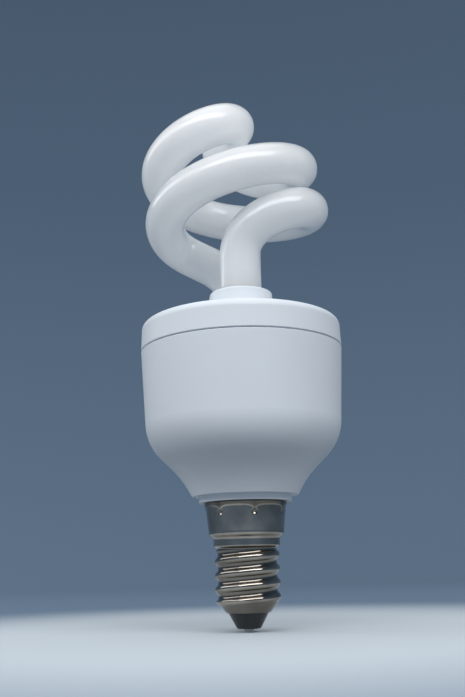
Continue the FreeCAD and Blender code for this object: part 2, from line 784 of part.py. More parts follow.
def choke():
    """The resonant choke: ferrite frame, bobbin on its middle leg and the winding on that."""
    at = {"x": "choke_x", "y": "choke_y"}
    foot = hung("choke_height", "choke_drop")
    window = "(choke_height - 2 * choke_yoke)"
    window_foot = f"{foot} + choke_yoke"
    window_width = "((choke_width - choke_leg) / 2 - choke_yoke)"
    offset = f"(choke_leg + {window_width}) / 2"
    windows = [
        block(f"choke_window_{sign}", window_width, "choke_depth * 2", window,
              f"choke_x + {sign} * {offset}", "choke_y", window_foot)
        for sign in (1, -1)
    ]
    frame = block("choke_frame", "choke_width", "choke_depth", "choke_height", z=foot, **at)
    core = cut("choke_core", frame, fused("choke_windows", *windows))

    leg_hole = block("bobbin_hole", "choke_leg + 2 * seat_gap", "choke_depth + 2 * seat_gap",
                     "choke_height * 2", z=f"{foot} - choke_yoke", **at)
    tube_width = "(choke_leg + 2 * bobbin_wall)"
    tube_depth = "(choke_depth + 2 * bobbin_wall)"
    flange_width = f"(choke_leg + 2 * {window_width} - 2 * seat_gap)"
    flange_depth = "(choke_depth + 2 * bobbin_overhang)"
    clear = f"({window} - 2 * seat_gap)"
    low = f"{window_foot} + seat_gap"
    tube = block("bobbin_tube", tube_width, tube_depth, clear, z=low, **at)
    flanges = [
        block(f"bobbin_flange_{name}", flange_width, flange_depth, "bobbin_flange", z=height, **at)
        for name, height in (("low", low), ("high", f"{low} + {clear} - bobbin_flange"))
    ]
    foot_height = "choke_yoke + choke_drop + bobbin_flange"
    feet = [
        block(f"bobbin_foot_{sign}", flange_width, "bobbin_foot", foot_height,
              "choke_x", f"choke_y + {sign} * (choke_depth / 2 + bobbin_overhang - bobbin_foot / 2)",
              hung(foot_height))
        for sign in (1, -1)
    ]
    bobbin = cut("choke_bobbin", fused("bobbin_solid", tube, *flanges, *feet), leg_hole)

    coil_height = f"{clear} - 2 * bobbin_flange - 2 * seat_gap"
    coil_foot = f"{low} + bobbin_flange + seat_gap"
    outside = block("winding_outside", f"{flange_width} - winding_step", f"{flange_depth} - winding_step",
                    coil_height, z=coil_foot, **at)
    inside = block("winding_inside", f"{tube_width} + 2 * seat_gap", f"{tube_depth} + 2 * seat_gap",
                   f"{coil_height} + choke_yoke", z=f"{coil_foot} - choke_yoke / 2", **at)
    return [core, bobbin, cut("choke_winding", outside, inside)]


def main_capacitor():
    """The smoothing capacitor's can, with its rolled bead next to the board."""
    radius, bead = "main_capacitor_radius", "main_capacitor_bead"
    groove_top = f"({BOARD_FOOT} - main_capacitor_groove_drop)"
    body = turned("main_capacitor", [
        ("0", hung("main_capacitor_height")),
        (f"{radius} - {bead}", hung("main_capacitor_height")),
        (radius, f"{hung('main_capacitor_height')} + {bead}"),
        (radius, f"{groove_top} - 3 * {bead}"),
        (f"{radius} - {bead}", f"{groove_top} - 2 * {bead}"),
        (f"{radius} - {bead}", f"{groove_top} - {bead}"),
        (radius, groove_top),
        (radius, BOARD_FOOT),
        ("0", BOARD_FOOT),
    ])
    return place(body, "main_capacitor_x", "main_capacitor_y")


def drive_toroid():
    """The small drive transformer: a ferrite ring and its windings, which hang it from the board."""
    at = {"x": "toroid_x", "y": "toroid_y"}
    ring = cylinder("toroid_ring", "toroid_radius", "toroid_height",
                    z=hung("toroid_height", "toroid_wire"), **at)
    hole = cylinder("toroid_hole", "toroid_hole_radius", "toroid_height * 3",
                    z=hung("toroid_height * 2", "toroid_wire"), **at)
    core = cut("drive_toroid", ring, hole)
    opening = "(toroid_radius - toroid_hole_radius + toroid_winding_slack + seat_gap)"
    middle = "(toroid_radius + toroid_hole_radius - toroid_winding_slack + seat_gap) / 2"
    loops = []
    for index in range(round(value("toroid_winding_count"))):
        turn = FULL_TURN * index / round(value("toroid_winding_count")) + value("toroid_winding_phase")
        loop = cut(
            f"toroid_winding_{index}",
            block(f"winding_outer_{index}", f"{opening} + 2 * toroid_wire", "toroid_winding_width",
                  "toroid_height + 2 * toroid_wire", middle),
            block(f"winding_inner_{index}", opening, "toroid_winding_width * 2",
                  "toroid_height + seat_gap", middle, z="toroid_wire - seat_gap / 2"),
        )
        place(loop, z=hung("toroid_height", "2 * toroid_wire"),
              rotation=Rotation(Vector(0, 0, 1), turn), **at)
        loops.append(loop)
    return [core, group("toroid_windings", *loops)]


def power_transistors():
    """Two flat switching transistors, standing off the board on three flat leads each."""
    devices = []
    for index, sign in enumerate((-1, 1)):
        x = f"{sign} * transistor_spread"
        foot = hung("transistor_height", "transistor_stand_off")
        plate = block(f"transistor_plate_{index}", "transistor_width", "transistor_thickness",
                      "transistor_height", x, "transistor_y", foot)
        hole = cylinder(f"transistor_hole_{index}", "transistor_hole_radius", "transistor_thickness * 2")
        place(hole, x, "transistor_y + transistor_thickness", f"{foot} + transistor_hole_drop",
              Rotation(Vector(1, 0, 0), QUARTER_TURN))
        drilled = cut(f"transistor_body_{index}", plate, hole)
        leads = [
            block(f"transistor_lead_{index}_{step}", "transistor_lead_width", "lead_radius * 2",
                  "transistor_stand_off", f"{x} + {step} * transistor_lead_pitch", "transistor_y",
                  hung("transistor_stand_off"))
            for step in (-1, 0, 1)
        ]
        devices.append(fused(f"transistor_{index}", drilled, *leads))
    return group("power_transistors", *devices)


def film_capacitor(label, x, y, along_y=False):
    """A boxed film capacitor on two leads, its upright edges rounded."""
    long_way = ("film_capacitor_width", "film_capacitor_length")
    width, depth = long_way if along_y else long_way[::-1]
    foot = hung("film_capacitor_height", "film_capacitor_stand_off")
    box = block(f"{label}_box", width, depth, "film_capacitor_height", x, y, foot)
    doc.recompute()
    uprights = [
        number for number, edge in enumerate(box.Shape.Edges, 1)
        if abs(edge.tangentAt(edge.FirstParameter).z) > 0.9
    ]
    case = doc.addObject("Part::Fillet", f"{label}_case")
    case.Base = box
    reach = value("film_capacitor_round")
    case.Edges = [(number, reach, reach) for number in uprights]
    leads = []
    for sign in (-1, 1):
        step = f"{sign} * film_capacitor_lead_pitch / 2"
        spot = (x, f"{y} + {step}") if along_y else (f"{x} + {step}", y)
        leads.append(cylinder(f"{label}_lead_{sign}", "lead_radius", "film_capacitor_stand_off",
                              *spot, hung("film_capacitor_stand_off")))
    return fused(label, case, *leads)


def filter_inductor():
    """A sleeved drum coil that stands on the board."""
    radius, edge = "inductor_radius", "inductor_round"
    body = turned("filter_inductor", [
        ("0", hung("inductor_height")),
        (f"{radius} - {edge}", hung("inductor_height")),
        (radius, f"{hung('inductor_height')} + {edge}"),
        (radius, f"{BOARD_FOOT} - {edge}"),
        (f"{radius} - {edge}", BOARD_FOOT),
        ("0", BOARD_FOOT),
    ])
    return place(body, "inductor_x", "inductor_y")


def axial(label, radius, length, x, y):
    """An upright axial piece: a short lead to the board and one that folds back beside it."""
    foot = hung(length, "axial_stand_off")
    fold = f"({radius} + lead_fold_gap + lead_radius)"
    case = cylinder(f"{label}_case", radius, length, x, y, foot)
    short = cylinder(f"{label}_short", "lead_radius", "axial_stand_off", x, y, hung("axial_stand_off"))
    low = f"{foot} - axial_stand_off"
    stub = block(f"{label}_stub", "lead_radius * 2", "lead_radius * 2", "axial_stand_off", x, y, low)
    bar = block(f"{label}_bar", f"{fold} + lead_radius * 2", "lead_radius * 2", "lead_radius * 2",
                f"{x} + {fold} / 2", y, low)
    back = block(f"{label}_back", "lead_radius * 2", "lead_radius * 2", f"{length} + 2 * axial_stand_off",
                 f"{x} + {fold}", y, low)
    return fused(label, case, short, stub, bar, back)


def axial_row(label, count, radius, length, x, y, pitch):
    """A row of like axial pieces along X, centred on x."""
    number = round(value(count))
    pieces = [
        axial(f"{label}_{index}", radius, length, f"{x} + {index - (number - 1) / 2} * {pitch}", y)
        for index in range(number)
    ]
    return group(label, *pieces)


def mains_leads():
    """The live lead from the contact and the neutral lead from the shell, up to the board."""
    live = cylinder("live_lead", "cable_radius", f"{BOARD_FOOT} - contact_height - contact_shank_length",
                    z="contact_height + contact_shank_length")
    level = value(f"{SPIGOT_FOOT} - cable_radius - seat_gap")
    drop = Vector(0, value("neutral_y"), value(BOARD_FOOT))
    corner = Vector(0, drop.y, level)
    shoulder_slope = "(skirt_foot_radius - cap_neck_radius) / cap_shoulder_height"
    climb = f"({SPIGOT_FOOT} - 2 * cable_radius - seat_gap - {SHOULDER_FOOT} - shell_wall)"
    end = Vector(0, -value(f"cap_neck_radius - shell_wall - seat_gap + {climb} * {shoulder_slope}"), level)
    neutral = swept("neutral_lead", Part.makePolygon([drop, corner, end]), "cable_radius")
    return [live, neutral]


pieces = [
    spiral_tube(),
    tube_cover(),
    tube_cement(),
    lower_housing(),
    cap_shell(),
    cap_insulator(),
    centre_contact(),
    circuit_board(),
    electrode_pins(),
    electrode_wires(),
    *choke(),
    main_capacitor(),
    *drive_toroid(),
    power_transistors(),
    film_capacitor("resonant_capacitor", "resonant_capacitor_x", "resonant_capacitor_y"),
    film_capacitor("coupling_capacitor", "coupling_capacitor_x", "coupling_capacitor_y", along_y=True),
    filter_inductor(),
    axial("fuse_resistor", "fuse_radius", "fuse_length", "fuse_x", "fuse_y"),
    axial_row("rectifier_diodes", "diode_count", "diode_radius", "diode_length",
              "0", "diode_y", "diode_pitch"),
    axial_row("start_resistors", "resistor_count", "resistor_radius", "resistor_length",
              "resistor_x", "resistor_y", "resistor_pitch"),
    axial("trigger_diode", "trigger_radius", "trigger_length", "trigger_x", "trigger_y"),
    *mains_leads(),
]
doc.recompute()

# Nothing is written unless every object built
failed = [thing.Name for thing in doc.Objects if {"Invalid", "Error"} & set(thing.State)]
failed += [piece.Name for piece in pieces if piece.Shape.isNull() or not piece.Shape.isValid()]
failed += [piece.Name for piece in pieces if not piece.Shape.Solids]
if failed:
    raise RuntimeError(f"these did not build: {failed}")
os.makedirs("parts", exist_ok=True)
for piece in pieces:
    piece.Shape.exportStep(f"parts/{piece.Label}.step")
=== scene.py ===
"""Looks of a spiral energy saving bulb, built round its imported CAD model.

Every length is in metres in the frame of the CAD model: the tip of the cap's contact is the
origin and +Z runs up the lamp's axis. The glass tube, the screw shell and the solder tip are
modelled here as finer meshes; the mouldings and the ballast keep their CAD shapes.
"""
import math

import bpy
from bpy.props import FloatProperty, FloatVectorProperty, IntProperty, PointerProperty
from bpy.types import Operator, Panel, PropertyGroup
from mathutils import Matrix, Quaternion, Vector


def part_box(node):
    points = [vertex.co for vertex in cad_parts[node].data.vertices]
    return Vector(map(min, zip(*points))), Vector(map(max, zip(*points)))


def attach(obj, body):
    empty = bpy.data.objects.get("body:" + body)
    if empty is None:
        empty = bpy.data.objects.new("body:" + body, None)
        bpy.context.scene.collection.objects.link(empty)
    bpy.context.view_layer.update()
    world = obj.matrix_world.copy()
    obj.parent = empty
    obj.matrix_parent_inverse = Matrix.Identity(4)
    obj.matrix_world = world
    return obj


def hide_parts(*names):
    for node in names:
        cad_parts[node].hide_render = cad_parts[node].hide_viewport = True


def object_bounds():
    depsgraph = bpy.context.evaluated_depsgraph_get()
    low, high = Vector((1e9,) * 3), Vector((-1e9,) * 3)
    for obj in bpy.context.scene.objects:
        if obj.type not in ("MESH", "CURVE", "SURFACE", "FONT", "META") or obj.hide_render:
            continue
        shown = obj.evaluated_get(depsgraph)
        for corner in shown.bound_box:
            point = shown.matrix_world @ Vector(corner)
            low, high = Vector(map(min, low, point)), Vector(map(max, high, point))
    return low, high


bl_info = {
    "name": "Spiral energy saving bulb",
    "version": (1, 0, 0),
    "blender": (4, 5, 0),
    "location": "View3D > Sidebar > Lamp",
    "description": "Dresses the CAD model of a spiral energy saving bulb",
    "category": "Object",
}

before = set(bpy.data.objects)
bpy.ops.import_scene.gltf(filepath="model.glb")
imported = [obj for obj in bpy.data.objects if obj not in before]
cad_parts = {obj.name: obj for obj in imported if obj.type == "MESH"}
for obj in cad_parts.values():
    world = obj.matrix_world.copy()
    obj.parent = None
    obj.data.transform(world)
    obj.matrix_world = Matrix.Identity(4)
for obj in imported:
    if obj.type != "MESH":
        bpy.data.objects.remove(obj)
CAD_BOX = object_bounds()
BODY = "root"
MM = 0.001
IMAGE_WIDTH, IMAGE_HEIGHT = 465, 697
COVER_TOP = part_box("tube_cover")[1].z
TUBE_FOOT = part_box("spiral_tube")[0].z
SHELL_FOOT, SHELL_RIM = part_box("cap_shell")[0].z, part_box("cap_shell")[1].z
TIP_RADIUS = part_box("centre_contact")[1].x
INSULATOR_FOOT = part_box("cap_insulator")[0].z

# Limits of the curve sums: a half step for a heading, a length that is none and a bend that is straight
HEADING_STEP = 1e-4
NO_LENGTH = 1e-9
STRAIGHT = 1e-6


# Sizes and colours that a user would change
def length(name, description, millimetres):
    return FloatProperty(name=name, description=description, default=millimetres * MM,
                         unit="LENGTH", precision=5)


def angle(name, description, degrees):
    return FloatProperty(name=name, description=description, default=math.radians(degrees), subtype="ANGLE")


def plain(name, description, number):
    return FloatProperty(name=name, description=description, default=number, precision=4)


def power(name, description, watts):
    return FloatProperty(name=name, description=description, default=watts, unit="POWER", precision=4)


def whole(name, description, number):
    return IntProperty(name=name, description=description, default=number, min=1)


def colour(name, description, red, green, blue):
    return FloatVectorProperty(name=name, description=description, default=(red, green, blue),
                               subtype="COLOR", min=0, max=1)


class TubeSizes(PropertyGroup):
    """The spiral glass tube"""
    radius: length("Tube radius", "Outside radius of the glass tube", 4.5)
    leg_reach: length("Leg reach", "Distance of each leg from the middle of the boss", 7.4)
    leg_angle: angle("Leg angle", "Direction of the front leg from the middle of the boss", -84.3)
    leg_shift: length("Leg shift", "Sideways place of the middle of the boss", -0.48)
    front_leg_rise: length("Front leg rise", "Straight length of the front leg above the boss", 8.8)
    back_leg_rise: length("Back leg rise", "Straight length of the back leg above the boss", 3.5)
    coil_radius: length("Coil radius", "Radius of the coil at the middle of the tube", 16.7)
    coil_taper: plain("Coil taper", "Loss of coil radius for each length climbed", 0.055)
    coil_pitch: length("Coil pitch", "Climb of one arm in a full turn", 22.6)
    coil_rise: length("Coil rise", "Height of the coil's start above the boss", 20.3)
    coil_start: angle("Coil start", "Direction in which the front arm starts to coil", -5.4)
    coil_sweep: angle("Coil sweep", "Angle that each arm coils through", 224.3)
    coil_lean: angle("Coil lean", "Lean of the coil towards its left", 3.7)
    coil_lean_rise: length("Lean height", "Height above the boss about which the coil leans", 9.5)
    coil_shift_x: length("Coil shift across", "Sideways place of the coil", 0.2)
    coil_shift_y: length("Coil shift back", "Place of the coil behind the axis", 1.9)
    arm_radius_spread: length("Arm radius spread", "How much wider the front arm coils", 0.69)
    arm_rise_spread: length("Arm rise spread", "How much higher the front arm starts", 0.82)
    arm_pitch_spread: length("Arm pitch spread", "How much less the front arm climbs in a turn", 0.45)
    bridge_rise: length("Bridge rise", "Height of the bridge's middle above the boss", 41.8)
    bridge_angle: angle("Bridge angle", "Direction in which the bridge crosses the axis", 125.7)
    leg_pull: length("Leg pull", "How far the leg's line carries into its bend", 9.7)
    coil_entry_pull: length("Coil entry pull", "How far the coil's line carries back into the bend", 15.1)
    coil_exit_pull: length("Coil exit pull", "How far the coil's line carries into the bridge", 11.7)
    bridge_pull: length("Bridge pull", "How far the bridge's line carries out to the coil", 11.2)
    bend_flattening: plain("Bend flattening", "Share of its width that the tube loses in a tight bend", 0.02)
    tightest_bend: length("Tightest bend", "Bend radius at which the flattening is full", 7.0)
    easing: whole("Easing", "Passes that ease the centre line where bends start", 14)
    step: length("Ring step", "Distance between the mesh's rings", 0.7)
    sides: whole("Sides", "Sides of each ring of the mesh", 56)


class CapSizes(PropertyGroup):
    """The screw shell and the solder tip"""
    wall: length("Wall", "Thickness of the rolled shell", 0.35)
    end_radius: length("End radius", "Outside radius of the shell's foot", 4.65)
    end_height: length("End height", "Height of the tapered foot", 1.8)
    root_radius: length("Thread root", "Outside radius between the thread's ridges", 6.14)
    crest_radius: length("Thread crest", "Outside radius of the thread's ridges", 6.82)
    pitch: length("Thread pitch", "Climb of the thread in one turn", 2.822)
    thread_height: length("Thread height", "Height of the threaded length", 11.3)
    thread_phase: angle("Thread phase", "Direction in which a ridge crosses the thread's foot", -172.9)
    thread_lead: length("Thread lead", "Height over which the ridge rises out of the tapered foot", 1.6)
    thread_runout: length("Thread run-out", "Height over which the ridge dies into the neck", 1.1)
    neck_radius: length("Neck radius", "Outside radius of the plain neck", 7.0)
    neck_height: length("Neck height", "Height of the plain neck", 1.3)
    neck_fillet: length("Neck fillet", "Half the height over which the thread's root rises to the neck", 0.3)
    shoulder_height: length("Shoulder height", "Height of the rolled shoulder below the skirt", 1.9)
    # The dull line is a painted dark reflection across the shoulder
    shoulder_painted_line: length("Shoulder fold", "Half height of the dull line in the shoulder", 0.30)
    shoulder_lift: length("Shoulder lift", "Straight height left at each end of the shoulder", 0.35)
    skirt_foot_radius: length("Skirt foot", "Outside radius of the skirt's foot", 7.95)
    skirt_rim_radius: length("Skirt rim", "Outside radius of the skirt under its lip", 8.5)
    lip: length("Lip", "How far the lip flares out of the skirt", 0.35)
    lip_height: length("Lip height", "Height of the flared lip", 1.0)
    lip_dip: length("Lip dip", "How far each punch mark pulls the lip's fold down", 0.85)
    # Above this bright band the lip is painted dark, as painted shade and painted dark reflection
    crease: length("Crease", "Width of the bright crease along the lip's fold", 0.14)
    # Strength of the shell's darkening: tarnish in the roots, painted shade and painted dark reflection
    # elsewhere
    tarnish_and_shade_strength: plain("Thread grime", "How dull the thread's roots and the shoulder's fold are", 0.85)
    crimp_count: whole("Crimps", "Number of punch marks round the skirt", 7)
    crimp_phase: angle("Crimp phase", "Direction of the first punch mark", -77.6)
    crimp_drop: length("Crimp drop", "Distance of the punch marks below the rim", 2.3)
    crimp_radius: length("Crimp radius", "Radius of a punch mark", 0.66)
    crimp_depth: length("Crimp depth", "Depth of a punch mark", 0.345)
    ring_step: length("Ring step", "Distance between the mesh's rings", 0.13)
    sides: whole("Sides", "Sides of each ring of the mesh", 288)
    solder_wobble: plain("Solder wobble", "Unevenness of the solder tip, as a share of its radius", 0.05)
    solder_lean: plain("Solder lean", "How far the drop's sides lean out, 0 for a half ball", 0.45)
    solder_shank: plain("Solder shank", "Radius of the shank, as a share of the tip's radius", 0.7)
    solder_rings: whole("Solder rings", "Rings of the solder tip's mesh", 14)
    solder_sides: whole("Solder sides", "Sides of each ring of the solder tip's mesh", 48)


class LampColours(PropertyGroup):
    """Colours of the surfaces that show"""
    glass: colour("Tube", "Phosphor coat seen through the glass", 0.925, 0.96, 0.98)
    glass_shade: colour("Tube shade", "Thin places in the phosphor coat", 0.89, 0.93, 0.955)
    plastic: colour("Housing", "Moulded housing and cover", 0.795, 0.845, 0.895)
    plastic_drift: colour("Housing drift", "Slightly aged patches of the mouldings", 0.77, 0.81, 0.85)
    nickel: colour("Shell", "Nickel plate of the screw shell", 0.44, 0.39, 0.335)
    # Darker colour of the shell: tarnish, and also the painted shade and painted dark reflection of its
    # darkened places
    nickel_tarnish_and_shade: colour("Shell tarnish", "Tarnish in the thread's roots", 0.12, 0.108, 0.092)
    black_glass: colour("Insulator", "Opaque glass of the insulator", 0.010, 0.011, 0.014)
    black_glass_drift: colour("Insulator drift", "Paler places in the insulator's glass", 0.03, 0.032, 0.036)
    solder: colour("Solder", "Dull solder of the tip", 0.82, 0.81, 0.78)
    solder_drift: colour("Solder drift", "Greyer places in the solder", 0.60, 0.59, 0.56)
    # The floor colour is a painted pool of light round the lamp; the backdrop colour lies outside it
    floor: colour("Floor", "Pale floor round the lamp", 0.56, 0.62, 0.67)
    backdrop: colour("Backdrop", "Deeper paper further off and behind", 0.13, 0.20, 0.29)


class StageSizes(PropertyGroup):
    """The floor, the wall round it and the soft lamps"""
    floor_reach: length("Floor reach", "Radius of the level floor", 400)
    wall_bend: length("Wall bend", "Radius of the bend from floor to wall", 450)
    wall_top: length("Wall top", "Height of the wall", 1700)
    bend_steps: whole("Bend steps", "Rings of the mesh in the wall's bend", 24)
    sides: whole("Sides", "Sides of each ring of the mesh", 96)
    # Edges of the painted pool of light on the floor
    fade_start: length("Fade start", "Distance from the lamp at which the floor starts to deepen", 50)
    fade_end: length("Fade end", "Distance at which the floor has the backdrop's colour", 145)
    front_depth: length("Front depth", "Depth of the strip in front", 260)
    front_power: power("Front power", "Power of the strip in front", 3.4)
    left_depth: length("Left depth", "Depth of the strip on the left", 220)
    left_power: power("Left power", "Power of the strip on the left", 1.25)
    overhead_depth: length("Overhead depth", "Depth of the box overhead", 600)
    overhead_power: power("Overhead power", "Power of the box overhead", 0.6)


# Meshes
def add_object(name, vertices, faces):
    """A smooth-shaded mesh object in the scene."""
    mesh = bpy.data.meshes.new(name)
    mesh.from_pydata(vertices, [], faces)
    mesh.shade_smooth()
    thing = bpy.data.objects.new(name, mesh)
    bpy.context.scene.collection.objects.link(thing)
    return thing


def ring_faces(rings, sides):
    """Quads between rings of vertices that are listed one after another."""
    faces = []
    for ring in range(rings - 1):
        for side in range(sides):
            after = (side + 1) % sides
            low, high = ring * sides, (ring + 1) * sides
            faces.append((low + side, low + after, high + after, high + side))
    return faces


def level_ring(radius, height, sides):
    """Points of a level circle about the lamp's axis."""
    turns = [math.tau * side / sides for side in range(sides)]
    return [(radius * math.cos(turn), radius * math.sin(turn), height) for turn in turns]


def write_mask(thing, name, values):
    """Keep one number for each vertex where a material can read it."""
    mask = thing.data.attributes.new(name, "FLOAT", "POINT")
    mask.data.foreach_set("value", values)


def take_over(thing, node, material):
    """Let a finer piece stand for a CAD node."""
    thing.data.materials.append(material)
    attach(thing, BODY)
    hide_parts(node)


# The tube's centre line
def bezier(handles, step_length):
    """Points along a cubic curve of four handles, the first one left out."""
    first, second, third, fourth = handles
    count = round(sum((after - before).length for before, after in zip(handles, handles[1:])) / step_length)
    points = []
    for step in range(1, count + 1):
        there = step / count
        back = 1 - there
        point = first * back**3 + second * (3 * back**2 * there)
        points.append(point + third * (3 * back * there**2) + fourth * there**3)
    return points


def arm_points(tube, side, leg_rise):
    """Points up one arm from its leg's foot to the bridge; side is +1 in front and -1 behind."""
    spread = side / 2
    radius = tube.coil_radius + spread * tube.arm_radius_spread
    pitch = tube.coil_pitch - spread * tube.arm_pitch_spread
    rise = COVER_TOP + tube.coil_rise + spread * tube.arm_rise_spread
    start = tube.coil_start + (0 if side > 0 else math.pi)
    pivot = Vector((0, 0, COVER_TOP + tube.coil_lean_rise))
    shift = Vector((tube.coil_shift_x, tube.coil_shift_y, 0))
    turn = Quaternion((0, 1, 0), -tube.coil_lean)

    def lean(point):
        return turn @ (point - pivot) + pivot + shift

    def coil(swept):
        climb = pitch * swept / math.tau
        reach = radius - tube.coil_taper * climb
        direction = start + swept
        return lean(Vector((reach * math.cos(direction), reach * math.sin(direction), rise + climb)))

    def heading(swept):
        return (coil(swept + HEADING_STEP) - coil(swept - HEADING_STEP)).normalized()

    leg_x = tube.leg_shift + side * tube.leg_reach * math.cos(tube.leg_angle)
    leg_y = side * tube.leg_reach * math.sin(tube.leg_angle)
    foot = Vector((leg_x, leg_y, TUBE_FOOT))
    leg_top = Vector((leg_x, leg_y, COVER_TOP + leg_rise))
    crown = lean(Vector((0, 0, COVER_TOP + tube.bridge_rise)))
    across = turn @ Vector((math.cos(tube.bridge_angle), math.sin(tube.bridge_angle), 0))
    entry, leave = coil(0), coil(tube.coil_sweep)
    bend = (
        leg_top,
        leg_top + Vector((0, 0, tube.leg_pull)),
        entry - heading(0) * tube.coil_entry_pull,
        entry,
    )
    bridge = (
        leave,
        leave + heading(tube.coil_sweep) * tube.coil_exit_pull,
        crown - across * side * tube.bridge_pull,
        crown,
    )
    leg_steps = round((leg_top - foot).length / tube.step)
    coil_steps = round(radius * tube.coil_sweep / tube.step)
    points = [foot.lerp(leg_top, step / leg_steps) for step in range(leg_steps + 1)]
    points += bezier(bend, tube.step)
    points += [coil(tube.coil_sweep * step / coil_steps) for step in range(1, coil_steps + 1)]
    return points + bezier(bridge, tube.step)


def tube_path(tube):
    """The whole centre line, from the front leg's foot to the back leg's foot, eased where bends start."""
    front = arm_points(tube, 1, tube.front_leg_rise)
    back = arm_points(tube, -1, tube.back_leg_rise)
    path = front + back[-2::-1]
    for _ in range(tube.easing):
        inner = [(before + here * 2 + after) / 4 for before, here, after in zip(path, path[1:], path[2:])]
        path = [path[0], *inner, path[-1]]
    return path


def carried_frames(path):
    """A heading and a side direction at each point, carried along without twist."""
    last = len(path) - 1
    headings = [(path[min(i + 1, last)] - path[max(i - 1, 0)]).normalized() for i in range(last + 1)]
    sides = [headings[0].orthogonal().normalized()]
    for before, now in zip(headings, headings[1:]):
        sides.append((before.rotation_difference(now) @ sides[-1]).normalized())
    return headings, sides


def bend_at(path, index):
    """The curvature of a path at one point, as a vector towards the bend's centre."""
    before, here, after = path[max(index - 1, 0)], path[index], path[min(index + 1, len(path) - 1)]
    first, second = here - before, after - here
    if min(first.length, second.length) < NO_LENGTH:
        return Vector()
    return (second.normalized() - first.normalized()) / ((first.length + second.length) / 2)


def tube_mesh(tube):
    """The glass tube: rings along the path, a little flattened in tight bends, and closed ends."""
    path = tube_path(tube)
    headings, sides = carried_frames(path)
    vertices = []
    for index, (centre, heading, side) in enumerate(zip(path, headings, sides)):
        up = heading.cross(side)
        bend = bend_at(path, index)
        squeeze = tube.bend_flattening * min(bend.length * tube.tightest_bend, 1)
        inward = bend.normalized() if bend.length > STRAIGHT else side
        for step in range(tube.sides):
            around = math.tau * step / tube.sides
            spoke = side * math.cos(around) + up * math.sin(around)
            spoke -= inward * (spoke.dot(inward) * squeeze)
            vertices.append(centre + spoke * tube.radius)
    count = len(path)
    faces = ring_faces(count, tube.sides)
    faces.append(tuple(reversed(range(tube.sides))))
    faces.append(tuple(range((count - 1) * tube.sides, count * tube.sides)))
    return add_object("spiral_glass_tube", vertices, faces)


# The screw shell
def ramp(low, high, value):
    """A straight rise from 0 at low to 1 at high."""
    return min(max((value - low) / (high - low), 0), 1)


def smooth(low, high, value):
    """A soft rise from 0 at low to 1 at high."""
    share = ramp(low, high, value)
    return share * share * (3 - 2 * share)


def shell_heights(cap):
    """The main heights of the screw shell: thread foot, neck, shoulder, skirt and lip."""
    thread = SHELL_FOOT + cap.end_height
    neck = thread + cap.thread_height
    shoulder = neck + cap.neck_height
    return thread, neck, shoulder, shoulder + cap.shoulder_height, SHELL_RIM - cap.lip_height


def thread_turn(cap, direction, height):
    """How many turns of the thread lie between a crest and a place: a whole number on each crest."""
    thread, *_ = shell_heights(cap)
    return (height - thread) / cap.pitch - (direction - cap.thread_phase) / math.tau


def thread_ridge(cap, direction, height):
    """How far a place stands up the thread: 0 in a root or off the thread, 1 on a crest.

    Crests and roots are arcs of one radius that meet in the middle of each flank.
    """
    thread, neck, *_ = shell_heights(cap)
    depth = cap.crest_radius - cap.root_radius
    knuckle = (cap.pitch**2 / 4 + depth**2) / (4 * depth)
    turn = thread_turn(cap, direction, height)
    from_crest = abs(turn - round(turn)) * cap.pitch
    if from_crest < cap.pitch / 4:
        rise = depth - knuckle + math.sqrt(knuckle**2 - from_crest**2)
    else:
        rise = knuckle - math.sqrt(knuckle**2 - (cap.pitch / 2 - from_crest)**2)
    lead = smooth(thread - cap.thread_lead / 2, thread + cap.thread_lead / 2, height)
    runout = 1 - smooth(neck - cap.thread_runout, neck, height)
    return rise / depth * lead * runout


def crimp_offset(cap, direction):
    """The distance along the skirt to the nearest punch mark."""
    spacing = math.tau / cap.crimp_count
    nearest = (direction - cap.crimp_phase + spacing / 2) % spacing - spacing / 2
    return nearest * cap.skirt_rim_radius


def crimp_dip(cap, direction, height):
    """How deep a place lies in a punch mark, which is a cone: 0 outside it, 1 at its middle."""
    away = math.hypot(crimp_offset(cap, direction), height - SHELL_RIM + cap.crimp_drop)
    return max(1 - away / cap.crimp_radius, 0)


def lip_fold(cap, direction):
    """The height of the fold under the lip, which each punch mark pulls down."""
    *_, lip = shell_heights(cap)
    return lip - cap.lip_dip * math.exp(-abs(crimp_offset(cap, direction)) / cap.crimp_radius)


def shell_tarnish_and_painted_shade(cap, direction, height):
    """How far the shell's colour is darkened at a place, from 0 to 1.

    Darkened are the foot; the thread's roots, as tarnish and painted dark reflection; and, as painted shade
    and painted dark reflection, the lower flanks, the shoulder's fold, the lip and the upper half of each
    punch mark.
    """
    _, neck, shoulder, skirt, _ = shell_heights(cap)
    # The roots are darkened as tarnish and painted dark reflection, the lower flanks as painted dark
    # reflection
    lower_flank = max(-math.sin(math.tau * thread_turn(cap, direction, height)), 0)
    threaded = max(1 - thread_ridge(cap, direction, height), lower_flank) * (height < neck)
    # The shoulder's fold gets a painted dark reflection line
    fold = (height - (shoulder + skirt) / 2) / cap.shoulder_painted_line
    # Above a narrow bright crease the lip is painted dark, as painted shade and painted dark reflection
    crease = lip_fold(cap, direction) + cap.crease
    lip = smooth(crease, crease + cap.crease, height)
    # The upper half of each punch mark is painted dark, as a painted dark reflection
    punched = (crimp_dip(cap, direction, height) > 0) * (height > SHELL_RIM - cap.crimp_drop)
    return max(cap.tarnish_and_shade_strength * threaded, cap.tarnish_and_shade_strength * math.exp(-fold * fold), lip, punched)


